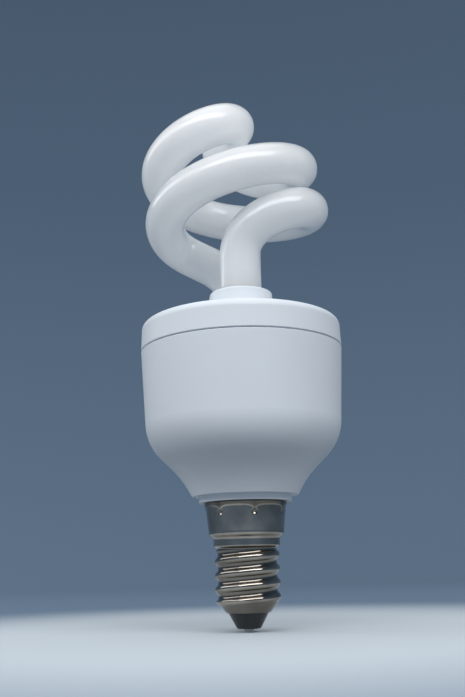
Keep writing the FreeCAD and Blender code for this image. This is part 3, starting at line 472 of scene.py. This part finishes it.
def shell_outside(cap, direction, height):
    """The outside radius of the screw shell at a direction and a height."""
    thread, neck, shoulder, skirt, lip = shell_heights(cap)
    to_neck = smooth(neck - cap.neck_fillet, neck + cap.neck_fillet, height)
    to_skirt = smooth(shoulder + cap.shoulder_lift, skirt - cap.shoulder_lift, height)
    radius = cap.end_radius + (cap.root_radius - cap.end_radius) * ramp(SHELL_FOOT, thread, height)
    radius += (cap.crest_radius - cap.root_radius) * thread_ridge(cap, direction, height)
    radius += (cap.neck_radius - cap.root_radius) * to_neck
    radius += (cap.skirt_foot_radius - cap.neck_radius) * to_skirt
    radius += (cap.skirt_rim_radius - cap.skirt_foot_radius) * ramp(skirt, lip, height)
    radius += cap.lip * ramp(lip_fold(cap, direction), SHELL_RIM, height)
    radius -= cap.crimp_depth * crimp_dip(cap, direction, height)
    edge = ramp(SHELL_RIM - cap.wall / 2, SHELL_RIM, height)
    return radius - cap.wall / 2 * (1 - math.sqrt(1 - edge * edge))


def shell_inside(cap):
    """The bore of the screw shell from its rim down, as (radius, height) corners."""
    thread, neck, shoulder, skirt, lip = shell_heights(cap)
    return [
        (cap.skirt_rim_radius + cap.lip - cap.wall, SHELL_RIM),
        (cap.skirt_rim_radius - cap.wall, lip),
        (cap.skirt_foot_radius - cap.wall, skirt),
        (cap.neck_radius - cap.wall, shoulder + cap.wall),
        (cap.neck_radius - cap.wall, neck + cap.wall),
        (cap.root_radius - cap.wall, neck - cap.wall),
        (cap.root_radius - cap.wall, thread),
        (cap.end_radius - cap.wall, SHELL_FOOT),
    ]


def shell_mesh(cap):
    """The screw shell as one closed skin: outside with thread and crimps, rim, and plain inside."""
    count = math.ceil((SHELL_RIM - SHELL_FOOT) / cap.ring_step)
    levels = [SHELL_FOOT + (SHELL_RIM - SHELL_FOOT) * step / count for step in range(count + 1)]
    inside = shell_inside(cap)
    directions = [math.tau * step / cap.sides for step in range(cap.sides)]
    vertices, tarnish_and_painted_shade = [], []
    for height in levels:
        for direction in directions:
            radius = shell_outside(cap, direction, height)
            vertices.append((radius * math.cos(direction), radius * math.sin(direction), height))
            tarnish_and_painted_shade.append(shell_tarnish_and_painted_shade(cap, direction, height))
    for radius, height in inside:
        vertices += level_ring(radius, height, cap.sides)
        # The bore gets the full darkening: painted shade inside the shell
        tarnish_and_painted_shade += [1.0] * cap.sides
    rings = len(levels) + len(inside)
    faces = ring_faces(rings, cap.sides)
    last = (rings - 1) * cap.sides
    for side in range(cap.sides):
        after = (side + 1) % cap.sides
        faces.append((last + side, last + after, after, side))
    thing = add_object("screw_shell", vertices, faces)
    write_mask(thing, "tarnish_and_painted_shade", tarnish_and_painted_shade)
    return thing


# Waves round the solder tip: how many, the phase of each and its share of the unevenness
SOLDER_WAVES = ((3, 0.6, 0.5), (5, 2.1, 0.3))


def solder_mesh(cap):
    """The solder tip: a low, slightly uneven drop with leaning sides, and the shank above it."""
    low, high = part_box("centre_contact")
    sides, rings = cap.solder_sides, cap.solder_rings
    vertices = [(0.0, 0.0, low.z)]
    for ring in range(1, rings + 1):
        share = ring / rings
        swing = share * math.pi / 2
        bulge = cap.solder_lean * share + (1 - cap.solder_lean) * math.sin(swing)
        rise = (INSULATOR_FOOT - low.z) * (1 - math.cos(swing)) / (1 + cap.solder_wobble)
        for side in range(sides):
            around = math.tau * side / sides
            wave = sum(part * math.sin(count * around + phase) for count, phase, part in SOLDER_WAVES)
            radius = TIP_RADIUS * bulge * (1 - cap.solder_wobble + cap.solder_wobble * wave * share)
            height = low.z + rise * (1 + cap.solder_wobble * wave)
            vertices.append((radius * math.cos(around), radius * math.sin(around), height))
    for height in (INSULATOR_FOOT, high.z):
        vertices += level_ring(TIP_RADIUS * cap.solder_shank, height, sides)
    faces = [(0, 1 + (side + 1) % sides, 1 + side) for side in range(sides)]
    faces += [tuple(corner + 1 for corner in face) for face in ring_faces(rings + 2, sides)]
    faces.append(tuple(1 + (rings + 1) * sides + side for side in range(sides)))
    return add_object("solder_tip", vertices, faces)


# Shader node groups
def node(tree, kind, place, **settings):
    """A shader node with its properties set."""
    made = tree.nodes.new(kind)
    made.location = place
    for name, setting in settings.items():
        setattr(made, name, setting)
    return made


def new_group(name, inputs, outputs):
    """An empty shader group with float or colour sockets."""
    group = bpy.data.node_groups.new(name, "ShaderNodeTree")
    for label, kind, default in inputs:
        socket = group.interface.new_socket(label, in_out="INPUT", socket_type=kind)
        socket.default_value = default
    for label, kind in outputs:
        group.interface.new_socket(label, in_out="OUTPUT", socket_type=kind)
    start = node(group, "NodeGroupInput", (-700, 0))
    end = node(group, "NodeGroupOutput", (500, 0))
    return group, start, end


def surface_grain():
    """Fine unevenness: a roughness between two limits and a height for a bump."""
    name = "surface_grain"
    if name in bpy.data.node_groups:
        return bpy.data.node_groups[name]
    number = "NodeSocketFloat"
    group, start, end = new_group(
        name,
        [("Scale", number, 900), ("Low", number, 0.3), ("High", number, 0.4)],
        [("Roughness", number), ("Height", number)],
    )
    place = node(group, "ShaderNodeTexCoord", (-700, -200))
    noise = node(group, "ShaderNodeTexNoise", (-400, 0))
    noise.inputs["Detail"].default_value = 5
    limits = node(group, "ShaderNodeMapRange", (0, 100))
    limits.inputs["From Min"].default_value = 0.3
    limits.inputs["From Max"].default_value = 0.7
    link = group.links.new
    link(place.outputs["Object"], noise.inputs["Vector"])
    link(start.outputs["Scale"], noise.inputs["Scale"])
    link(noise.outputs["Fac"], limits.inputs["Value"])
    link(start.outputs["Low"], limits.inputs["To Min"])
    link(start.outputs["High"], limits.inputs["To Max"])
    link(limits.outputs["Result"], end.inputs["Roughness"])
    link(noise.outputs["Fac"], end.inputs["Height"])
    return group


def colour_drift():
    """A slow change between two colours over the surface."""
    name = "colour_drift"
    if name in bpy.data.node_groups:
        return bpy.data.node_groups[name]
    number, shade = "NodeSocketFloat", "NodeSocketColor"
    group, start, end = new_group(
        name,
        [("Main", shade, (1, 1, 1, 1)), ("Drift", shade, (0.5, 0.5, 0.5, 1)), ("Scale", number, 60),
         ("Amount", number, 0.5)],
        [("Colour", shade)],
    )
    place = node(group, "ShaderNodeTexCoord", (-700, -200))
    noise = node(group, "ShaderNodeTexNoise", (-400, 0))
    noise.inputs["Detail"].default_value = 3
    limits = node(group, "ShaderNodeMapRange", (-100, 0))
    limits.inputs["From Min"].default_value = 0.35
    limits.inputs["From Max"].default_value = 0.65
    mix = node(group, "ShaderNodeMix", (250, 0), data_type="RGBA")
    link = group.links.new
    link(place.outputs["Object"], noise.inputs["Vector"])
    link(start.outputs["Scale"], noise.inputs["Scale"])
    link(noise.outputs["Fac"], limits.inputs["Value"])
    link(start.outputs["Amount"], limits.inputs["To Max"])
    link(limits.outputs["Result"], mix.inputs["Factor"])
    link(start.outputs["Main"], mix.inputs["A"])
    link(start.outputs["Drift"], mix.inputs["B"])
    link(mix.outputs["Result"], end.inputs["Colour"])
    return group


# Scale of a wave texture that gives one ring in each metre
ONE_RING = 0.314


def wound_rings():
    """Level rings up a surface, for drawn metal and wound wire."""
    name = "wound_rings"
    if name in bpy.data.node_groups:
        return bpy.data.node_groups[name]
    number = "NodeSocketFloat"
    group, start, end = new_group(
        name,
        [("Rings per metre", number, 4000), ("Unevenness", number, 1.0)],
        [("Height", number)],
    )
    place = node(group, "ShaderNodeTexCoord", (-700, -200))
    wave = node(group, "ShaderNodeTexWave", (-200, 0), wave_type="BANDS", bands_direction="Z")
    wave.inputs["Detail"].default_value = 2
    turn = node(group, "ShaderNodeMath", (-450, 100), operation="MULTIPLY")
    turn.inputs[1].default_value = ONE_RING
    link = group.links.new
    link(place.outputs["Object"], wave.inputs["Vector"])
    link(start.outputs["Rings per metre"], turn.inputs[0])
    link(turn.outputs["Value"], wave.inputs["Scale"])
    link(start.outputs["Unevenness"], wave.inputs["Distortion"])
    link(wave.outputs["Fac"], end.inputs["Height"])
    return group


# Materials
class Finish:
    """One material being built round a Principled shader, with the shared groups at hand."""

    def __init__(self, name, metallic=0.0):
        self.material = bpy.data.materials.new(name)
        self.material.use_nodes = True
        self.tree = self.material.node_tree
        self.shader = self.tree.nodes["Principled BSDF"]
        self.shader.inputs["Metallic"].default_value = metallic

    def link(self, start, end):
        self.tree.links.new(start, end)

    def group(self, tree, place, **values):
        """A shared group in this material, with its sockets set."""
        made = node(self.tree, "ShaderNodeGroup", place, node_tree=tree)
        for name, setting in values.items():
            made.inputs[name.replace("_", " ")].default_value = setting
        return made

    def plain(self, **values):
        """Set sockets of the shader that are the same all over the surface."""
        for name, setting in values.items():
            self.shader.inputs[name.replace("_", " ")].default_value = setting

    def grain(self, scale, low, high):
        """Drive the roughness by fine unevenness and give back its height."""
        made = self.group(surface_grain(), (-500, -200), Scale=scale, Low=low, High=high)
        self.link(made.outputs["Roughness"], self.shader.inputs["Roughness"])
        return made.outputs["Height"]

    def drift(self, main, other, scale, amount):
        """Colour the surface by a slow change between two colours."""
        made = self.group(colour_drift(), (-500, 200), Main=(*main, 1), Drift=(*other, 1), Scale=scale,
                          Amount=amount)
        self.link(made.outputs["Colour"], self.shader.inputs["Base Color"])
        return made.outputs["Colour"]

    def rings(self, per_metre, unevenness):
        """Give back the height of level rings up the surface."""
        made = self.group(wound_rings(), (-500, -450), Rings_per_metre=per_metre, Unevenness=unevenness)
        return made.outputs["Height"]

    def bump(self, height, strength, distance):
        """Raise the surface by a height."""
        made = node(self.tree, "ShaderNodeBump", (-220, -300))
        made.inputs["Strength"].default_value = strength
        made.inputs["Distance"].default_value = distance
        self.link(height, made.inputs["Height"])
        self.link(made.outputs["Normal"], self.shader.inputs["Normal"])


def phosphor_glass(colours):
    """White coat behind clear glass: a soft body colour under a sharp gloss."""
    finish = Finish("phosphor_glass")
    finish.drift(colours.glass, colours.glass_shade, scale=90, amount=0.55)
    finish.grain(scale=160, low=0.32, high=0.42)
    finish.plain(Coat_Weight=0.9, Coat_Roughness=0.06, Coat_IOR=1.5)
    finish.plain(Subsurface_Weight=1.0, Subsurface_Scale=0.03, Subsurface_Radius=(1.0, 1.0, 1.0))
    finish.plain(Sheen_Weight=0.4, Sheen_Roughness=0.35, Sheen_Tint=(0.80, 0.93, 1.0, 1))
    return finish.material


def moulded_plastic(colours):
    """Satin moulding with the fine texture of a spark-eroded tool."""
    finish = Finish("moulded_plastic")
    finish.drift(colours.plastic, colours.plastic_drift, scale=45, amount=0.8)
    height = finish.grain(scale=2600, low=0.36, high=0.48)
    finish.bump(height, strength=0.25, distance=0.00006)
    finish.plain(Specular_IOR_Level=0.45)
    return finish.material


def nickel_plate(colours):
    """Bright plated metal with faint drawn rings, tarnish in the roots, and painted shade and reflection."""
    finish = Finish("nickel_plate", 1.0)
    drift = finish.drift(colours.nickel, colours.nickel_tarnish_and_shade, scale=130, amount=0.6)
    finish.grain(scale=420, low=0.08, high=0.17)
    # A mask darkens the colour: tarnish in the thread's roots, elsewhere painted shade and painted dark
    # reflection
    roots = node(finish.tree, "ShaderNodeAttribute", (-800, 420), attribute_name="tarnish_and_painted_shade")
    limits = node(finish.tree, "ShaderNodeMapRange", (-600, 420))
    limits.inputs["From Min"].default_value = 0.35
    limits.inputs["To Max"].default_value = 0.95
    mix = node(finish.tree, "ShaderNodeMix", (-250, 320), data_type="RGBA")
    mix.inputs["B"].default_value = (*colours.nickel_tarnish_and_shade, 1)
    finish.link(roots.outputs["Fac"], limits.inputs["Value"])
    finish.link(limits.outputs["Result"], mix.inputs["Factor"])
    finish.link(drift, mix.inputs["A"])
    finish.link(mix.outputs["Result"], finish.shader.inputs["Base Color"])
    finish.bump(finish.rings(per_metre=5200, unevenness=2.0), strength=0.02, distance=0.00002)
    return finish.material


def black_glass(colours):
    """Pressed opaque glass with a gloss and a faintly uneven skin."""
    finish = Finish("black_glass")
    finish.drift(colours.black_glass, colours.black_glass_drift, scale=300, amount=0.5)
    finish.bump(finish.grain(scale=380, low=0.10, high=0.22), strength=0.15, distance=0.0001)
    return finish.material


def dull_solder(colours):
    """Lead-grey metal, dull and a little pitted."""
    finish = Finish("dull_solder", 0.3)
    finish.drift(colours.solder, colours.solder_drift, scale=700, amount=0.6)
    finish.bump(finish.grain(scale=1500, low=0.32, high=0.55), strength=0.5, distance=0.0001)
    return finish.material


def hard_cement():
    finish = Finish("hard_cement")
    finish.drift((0.70, 0.67, 0.60), (0.55, 0.52, 0.46), scale=400, amount=0.8)
    finish.bump(finish.grain(scale=1800, low=0.75, high=0.95), strength=0.8, distance=0.0002)
    return finish.material


def board_laminate():
    """Paper laminate with its fibres showing faintly."""
    finish = Finish("board_laminate")
    finish.drift((0.33, 0.19, 0.075), (0.24, 0.13, 0.05), scale=220, amount=0.9)
    finish.bump(finish.grain(scale=3000, low=0.45, high=0.6), strength=0.3, distance=0.00005)
    return finish.material


def tinned_wire():
    finish = Finish("tinned_wire", 1.0)
    finish.drift((0.58, 0.57, 0.55), (0.40, 0.39, 0.37), scale=500, amount=0.7)
    finish.bump(finish.grain(scale=2400, low=0.25, high=0.42), strength=0.3, distance=0.00003)
    return finish.material


def ferrite():
    """Sintered ceramic, dark and slightly gritty."""
    finish = Finish("ferrite")
    finish.drift((0.030, 0.030, 0.033), (0.060, 0.058, 0.058), scale=900, amount=0.8)
    finish.bump(finish.grain(scale=3600, low=0.55, high=0.75), strength=0.6, distance=0.00008)
    return finish.material


def bobbin_nylon():
    finish = Finish("bobbin_nylon")
    finish.drift((0.62, 0.55, 0.38), (0.54, 0.47, 0.31), scale=120, amount=0.7)
    finish.bump(finish.grain(scale=1600, low=0.38, high=0.5), strength=0.3, distance=0.00006)
    return finish.material


def enamelled_copper():
    """Close turns of enamelled wire."""
    finish = Finish("enamelled_copper", 1.0)
    finish.drift((0.55, 0.22, 0.09), (0.38, 0.14, 0.05), scale=300, amount=0.6)
    finish.grain(scale=900, low=0.22, high=0.34)
    finish.bump(finish.rings(per_metre=3300, unevenness=0.6), strength=0.9, distance=0.0001)
    return finish.material


def shrink_sleeve():
    finish = Finish("shrink_sleeve")
    finish.drift((0.012, 0.016, 0.045), (0.03, 0.035, 0.07), scale=150, amount=0.6)
    finish.bump(finish.grain(scale=700, low=0.18, high=0.3), strength=0.25, distance=0.0001)
    return finish.material


def dipped_resin():
    finish = Finish("dipped_resin")
    finish.drift((0.27, 0.045, 0.02), (0.18, 0.03, 0.015), scale=180, amount=0.7)
    finish.bump(finish.grain(scale=420, low=0.16, high=0.3), strength=0.5, distance=0.0002)
    return finish.material


def moulded_epoxy():
    finish = Finish("moulded_epoxy")
    finish.drift((0.012, 0.012, 0.013), (0.024, 0.024, 0.026), scale=240, amount=0.8)
    finish.bump(finish.grain(scale=4200, low=0.48, high=0.62), strength=0.5, distance=0.00005)
    return finish.material


def resistor_lacquer():
    finish = Finish("resistor_lacquer")
    finish.drift((0.42, 0.30, 0.15), (0.34, 0.23, 0.11), scale=260, amount=0.7)
    finish.bump(finish.grain(scale=800, low=0.25, high=0.4), strength=0.3, distance=0.0001)
    return finish.material


def wire_sleeve():
    finish = Finish("wire_sleeve")
    finish.drift((0.45, 0.02, 0.015), (0.36, 0.015, 0.012), scale=160, amount=0.6)
    finish.bump(finish.grain(scale=1200, low=0.35, high=0.5), strength=0.25, distance=0.00005)
    return finish.material


BALLAST_FINISHES = (
    (hard_cement, ("tube_cement",)),
    (board_laminate, ("circuit_board",)),
    (tinned_wire, ("electrode_pins", "electrode_wires")),
    (ferrite, ("choke_core", "drive_toroid")),
    (bobbin_nylon, ("choke_bobbin",)),
    (enamelled_copper, ("choke_winding", "toroid_windings")),
    (shrink_sleeve, ("main_capacitor",)),
    (dipped_resin, ("resonant_capacitor", "coupling_capacitor", "trigger_diode")),
    (moulded_epoxy, ("power_transistors", "filter_inductor", "rectifier_diodes")),
    (resistor_lacquer, ("fuse_resistor", "start_resistors")),
    (wire_sleeve, ("live_lead", "neutral_lead")),
)


def paint_nodes(material, nodes):
    """Give CAD nodes a finish in all their slots."""
    for name in nodes:
        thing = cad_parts[name]
        thing.data.materials.clear()
        thing.data.materials.append(material)


# The stage
CAMERA_PLACE = Vector((0, -193.1, 13.3)) * MM
CAMERA_PITCH = math.radians(13.57)
CAMERA_YAW = math.radians(-0.57)
CAMERA_ROLL = math.radians(-1.49)
FOCAL_PIXELS = 900
SENSOR = 36.0
NEAR_CLIP = 5 * MM

# Ends of the soft lamps: two strips that share a corner, and a box overhead
STRIP_RIGHT = Vector((0.54, -0.37, 0.50))
STRIP_CORNER = Vector((-0.42, -0.50, 0.55))
STRIP_LEFT = Vector((-0.68, 0.39, 0.32))
OVERHEAD_LEFT = Vector((-0.50, -0.05, 0.95))
OVERHEAD_RIGHT = Vector((0.30, -0.05, 0.95))

# Light from all round: its colours from straight down, at 0, to straight up, at 1
SKY_SHADES = ((0.0, (0.10, 0.118, 0.145)), (0.5, (0.262, 0.305, 0.355)), (0.93, (0.49, 0.51, 0.53)))

# Brightness of the floor's duller patches, and the shares of its reach at which it has rings
FLOOR_PATCHES = 0.96
FLOOR_RINGS = (0.02, 0.5)


def photo_camera():
    """A camera where the photograph was taken: low in front of the lamp, looking up a little."""
    data = bpy.data.cameras.new("photo_camera")
    data.sensor_width = SENSOR
    data.lens = FOCAL_PIXELS / max(IMAGE_WIDTH, IMAGE_HEIGHT) * SENSOR
    data.clip_start = NEAR_CLIP
    camera = bpy.data.objects.new("photo_camera", data)
    bpy.context.scene.collection.objects.link(camera)
    ahead = Vector((
        math.sin(CAMERA_YAW) * math.cos(CAMERA_PITCH),
        math.cos(CAMERA_YAW) * math.cos(CAMERA_PITCH),
        math.sin(CAMERA_PITCH),
    ))
    level = ahead.cross(Vector((0, 0, 1))).normalized()
    upright = level.cross(ahead)
    across = level * math.cos(CAMERA_ROLL) + upright * math.sin(CAMERA_ROLL)
    above = upright * math.cos(CAMERA_ROLL) - level * math.sin(CAMERA_ROLL)
    turn = Matrix((across, above, -ahead)).transposed()
    camera.matrix_world = Matrix.Translation(CAMERA_PLACE) @ turn.to_4x4()
    bpy.context.scene.camera = camera


def softbox(name, start, end, target, depth, watts):
    """A soft rectangular lamp that runs from one place to another and faces a target."""
    data = bpy.data.lights.new(name, "AREA")
    data.shape = "RECTANGLE"
    data.size, data.size_y = (end - start).length, depth
    data.energy = watts
    lamp = bpy.data.objects.new(name, data)
    bpy.context.scene.collection.objects.link(lamp)
    middle = (start + end) / 2
    along = (end - start).normalized()
    back = middle - target
    back = (back - along * back.dot(along)).normalized()
    turn = Matrix((along, back.cross(along), back)).transposed()
    lamp.matrix_world = Matrix.Translation(middle) @ turn.to_4x4()
    lamp.visible_camera = False


def studio_paper(stage, colours):
    """Paper with a painted pool of light: pale round the lamp and deeper further off."""
    finish = Finish("studio_paper")
    tree = finish.tree
    patches = [channel * FLOOR_PATCHES for channel in colours.floor]
    pale = finish.drift(colours.floor, patches, scale=3, amount=0.5)
    finish.grain(scale=700, low=0.8, high=0.9)
    place = node(tree, "ShaderNodeTexCoord", (-1100, 600))
    reach = node(tree, "ShaderNodeVectorMath", (-900, 600), operation="LENGTH")
    # A painted pool of light: pale near the lamp, fading to the backdrop's colour further off
    fade = node(tree, "ShaderNodeMapRange", (-700, 600), interpolation_type="SMOOTHSTEP")
    fade.inputs["From Min"].default_value = stage.fade_start
    fade.inputs["From Max"].default_value = stage.fade_end
    paper = node(tree, "ShaderNodeMix", (-480, 450), data_type="RGBA")
    paper.inputs["B"].default_value = (*colours.backdrop, 1)
    finish.link(place.outputs["Object"], reach.inputs[0])
    finish.link(reach.outputs["Value"], fade.inputs["Value"])
    finish.link(fade.outputs["Result"], paper.inputs["Factor"])
    finish.link(pale, paper.inputs["A"])
    finish.link(paper.outputs["Result"], finish.shader.inputs["Base Color"])
    return finish.material


def studio_bowl(stage, colours):
    """A round floor that curves up into a wall; it shows and mirrors, but blocks no light."""
    line = [(share * stage.floor_reach, 0.0) for share in FLOOR_RINGS]
    for step in range(stage.bend_steps + 1):
        swing = math.pi / 2 * step / stage.bend_steps
        out, up = stage.wall_bend * math.sin(swing), stage.wall_bend * (1 - math.cos(swing))
        line.append((stage.floor_reach + out, up))
    line.append((stage.floor_reach + stage.wall_bend, stage.wall_top))
    vertices = []
    for radius, height in line:
        vertices += level_ring(radius, height, stage.sides)
    faces = [tuple(reversed(range(stage.sides))), *ring_faces(len(line), stage.sides)]
    bowl = add_object("studio_bowl", vertices, faces)
    bowl.visible_diffuse = False
    bowl.visible_shadow = False
    bowl.data.materials.append(studio_paper(stage, colours))


def studio_world():
    """Soft light from all round, strongest overhead and weak from below, as over a floor."""
    world = bpy.data.worlds.new("studio_world")
    bpy.context.scene.world = world
    world.use_nodes = True
    tree = world.node_tree
    background = tree.nodes["Background"]
    place = node(tree, "ShaderNodeTexCoord", (-1000, 0))
    axes = node(tree, "ShaderNodeSeparateXYZ", (-800, 0))
    height = node(tree, "ShaderNodeMapRange", (-600, 0))
    height.inputs["From Min"].default_value = -1
    shades = node(tree, "ShaderNodeValToRGB", (-400, 0))
    stops = shades.color_ramp.elements
    stops.new(SKY_SHADES[1][0])
    for stop, (rise, shade) in zip(stops, SKY_SHADES):
        stop.position, stop.color = rise, (*shade, 1)
    tree.links.new(place.outputs["Generated"], axes.inputs["Vector"])
    tree.links.new(axes.outputs["Z"], height.inputs["Value"])
    tree.links.new(height.outputs["Result"], shades.inputs["Fac"])
    tree.links.new(shades.outputs["Color"], background.inputs["Color"])


def studio_lights(stage, target):
    """A long soft strip in front, another that runs back on the left, and a soft box overhead."""
    softbox("front_strip", STRIP_RIGHT, STRIP_CORNER, target, stage.front_depth, stage.front_power)
    softbox("left_strip", STRIP_CORNER, STRIP_LEFT, target, stage.left_depth, stage.left_power)
    softbox("overhead_box", OVERHEAD_LEFT, OVERHEAD_RIGHT, target, stage.overhead_depth, stage.overhead_power)


# Operators
class LAMP_OT_glass_tube(Operator):
    """Build the spiral glass tube"""
    bl_idname = "lamp.glass_tube"
    bl_label = "Glass tube"

    def execute(self, context):
        thing = tube_mesh(context.scene.lamp_tube)
        take_over(thing, "spiral_tube", phosphor_glass(context.scene.lamp_colours))
        return {"FINISHED"}


class LAMP_OT_screw_shell(Operator):
    """Build the screw shell with its rolled thread and crimp marks"""
    bl_idname = "lamp.screw_shell"
    bl_label = "Screw shell"

    def execute(self, context):
        thing = shell_mesh(context.scene.lamp_cap)
        take_over(thing, "cap_shell", nickel_plate(context.scene.lamp_colours))
        return {"FINISHED"}


class LAMP_OT_cap_foot(Operator):
    """Build the solder tip and finish the black insulator"""
    bl_idname = "lamp.cap_foot"
    bl_label = "Cap foot"

    def execute(self, context):
        colours = context.scene.lamp_colours
        take_over(solder_mesh(context.scene.lamp_cap), "centre_contact", dull_solder(colours))
        paint_nodes(black_glass(colours), ("cap_insulator",))
        return {"FINISHED"}


class LAMP_OT_mouldings(Operator):
    """Finish the moulded housing and cover"""
    bl_idname = "lamp.mouldings"
    bl_label = "Mouldings"

    def execute(self, context):
        paint_nodes(moulded_plastic(context.scene.lamp_colours), ("lower_housing", "tube_cover"))
        return {"FINISHED"}


class LAMP_OT_ballast(Operator):
    """Finish the ballast board and everything on it"""
    bl_idname = "lamp.ballast"
    bl_label = "Ballast"

    def execute(self, context):
        for build, nodes in BALLAST_FINISHES:
            paint_nodes(build(), nodes)
        return {"FINISHED"}


class LAMP_OT_stage(Operator):
    """Set up floor, light and camera"""
    bl_idname = "lamp.stage"
    bl_label = "Stage"

    def execute(self, context):
        stage = context.scene.lamp_stage
        studio_bowl(stage, context.scene.lamp_colours)
        studio_world()
        studio_lights(stage, (CAD_BOX[0] + CAD_BOX[1]) / 2)
        photo_camera()
        context.scene.view_settings.view_transform = "Standard"
        return {"FINISHED"}


class LAMP_PT_builder(Panel):
    """The lamp's sizes, colours and building steps"""
    bl_idname = "LAMP_PT_builder"
    bl_label = "Spiral lamp"
    bl_space_type = "VIEW_3D"
    bl_region_type = "UI"
    bl_category = "Lamp"

    def draw(self, context):
        for operator in OPERATORS:
            self.layout.operator(operator.bl_idname)
        scene = context.scene
        for settings in (scene.lamp_tube, scene.lamp_cap, scene.lamp_colours, scene.lamp_stage):
            column = self.layout.column(align=True)
            for name in settings.__annotations__:
                column.prop(settings, name)


SETTINGS = (TubeSizes, CapSizes, LampColours, StageSizes)
OPERATORS = (
    LAMP_OT_glass_tube,
    LAMP_OT_screw_shell,
    LAMP_OT_cap_foot,
    LAMP_OT_mouldings,
    LAMP_OT_ballast,
    LAMP_OT_stage,
)
CLASSES = (*SETTINGS, *OPERATORS, LAMP_PT_builder)


def register():
    for kind in CLASSES:
        bpy.utils.register_class(kind)
    bpy.types.Scene.lamp_tube = PointerProperty(type=TubeSizes)
    bpy.types.Scene.lamp_cap = PointerProperty(type=CapSizes)
    bpy.types.Scene.lamp_colours = PointerProperty(type=LampColours)
    bpy.types.Scene.lamp_stage = PointerProperty(type=StageSizes)


def unregister():
    del bpy.types.Scene.lamp_stage
    del bpy.types.Scene.lamp_colours
    del bpy.types.Scene.lamp_cap
    del bpy.types.Scene.lamp_tube
    for kind in reversed(CLASSES):
        bpy.utils.unregister_class(kind)


def main():
    register()
    bpy.ops.lamp.glass_tube()
    bpy.ops.lamp.screw_shell()
    bpy.ops.lamp.cap_foot()
    bpy.ops.lamp.mouldings()
    bpy.ops.lamp.ballast()
    bpy.ops.lamp.stage()
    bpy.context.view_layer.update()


if __name__ == "__main__":
    main()
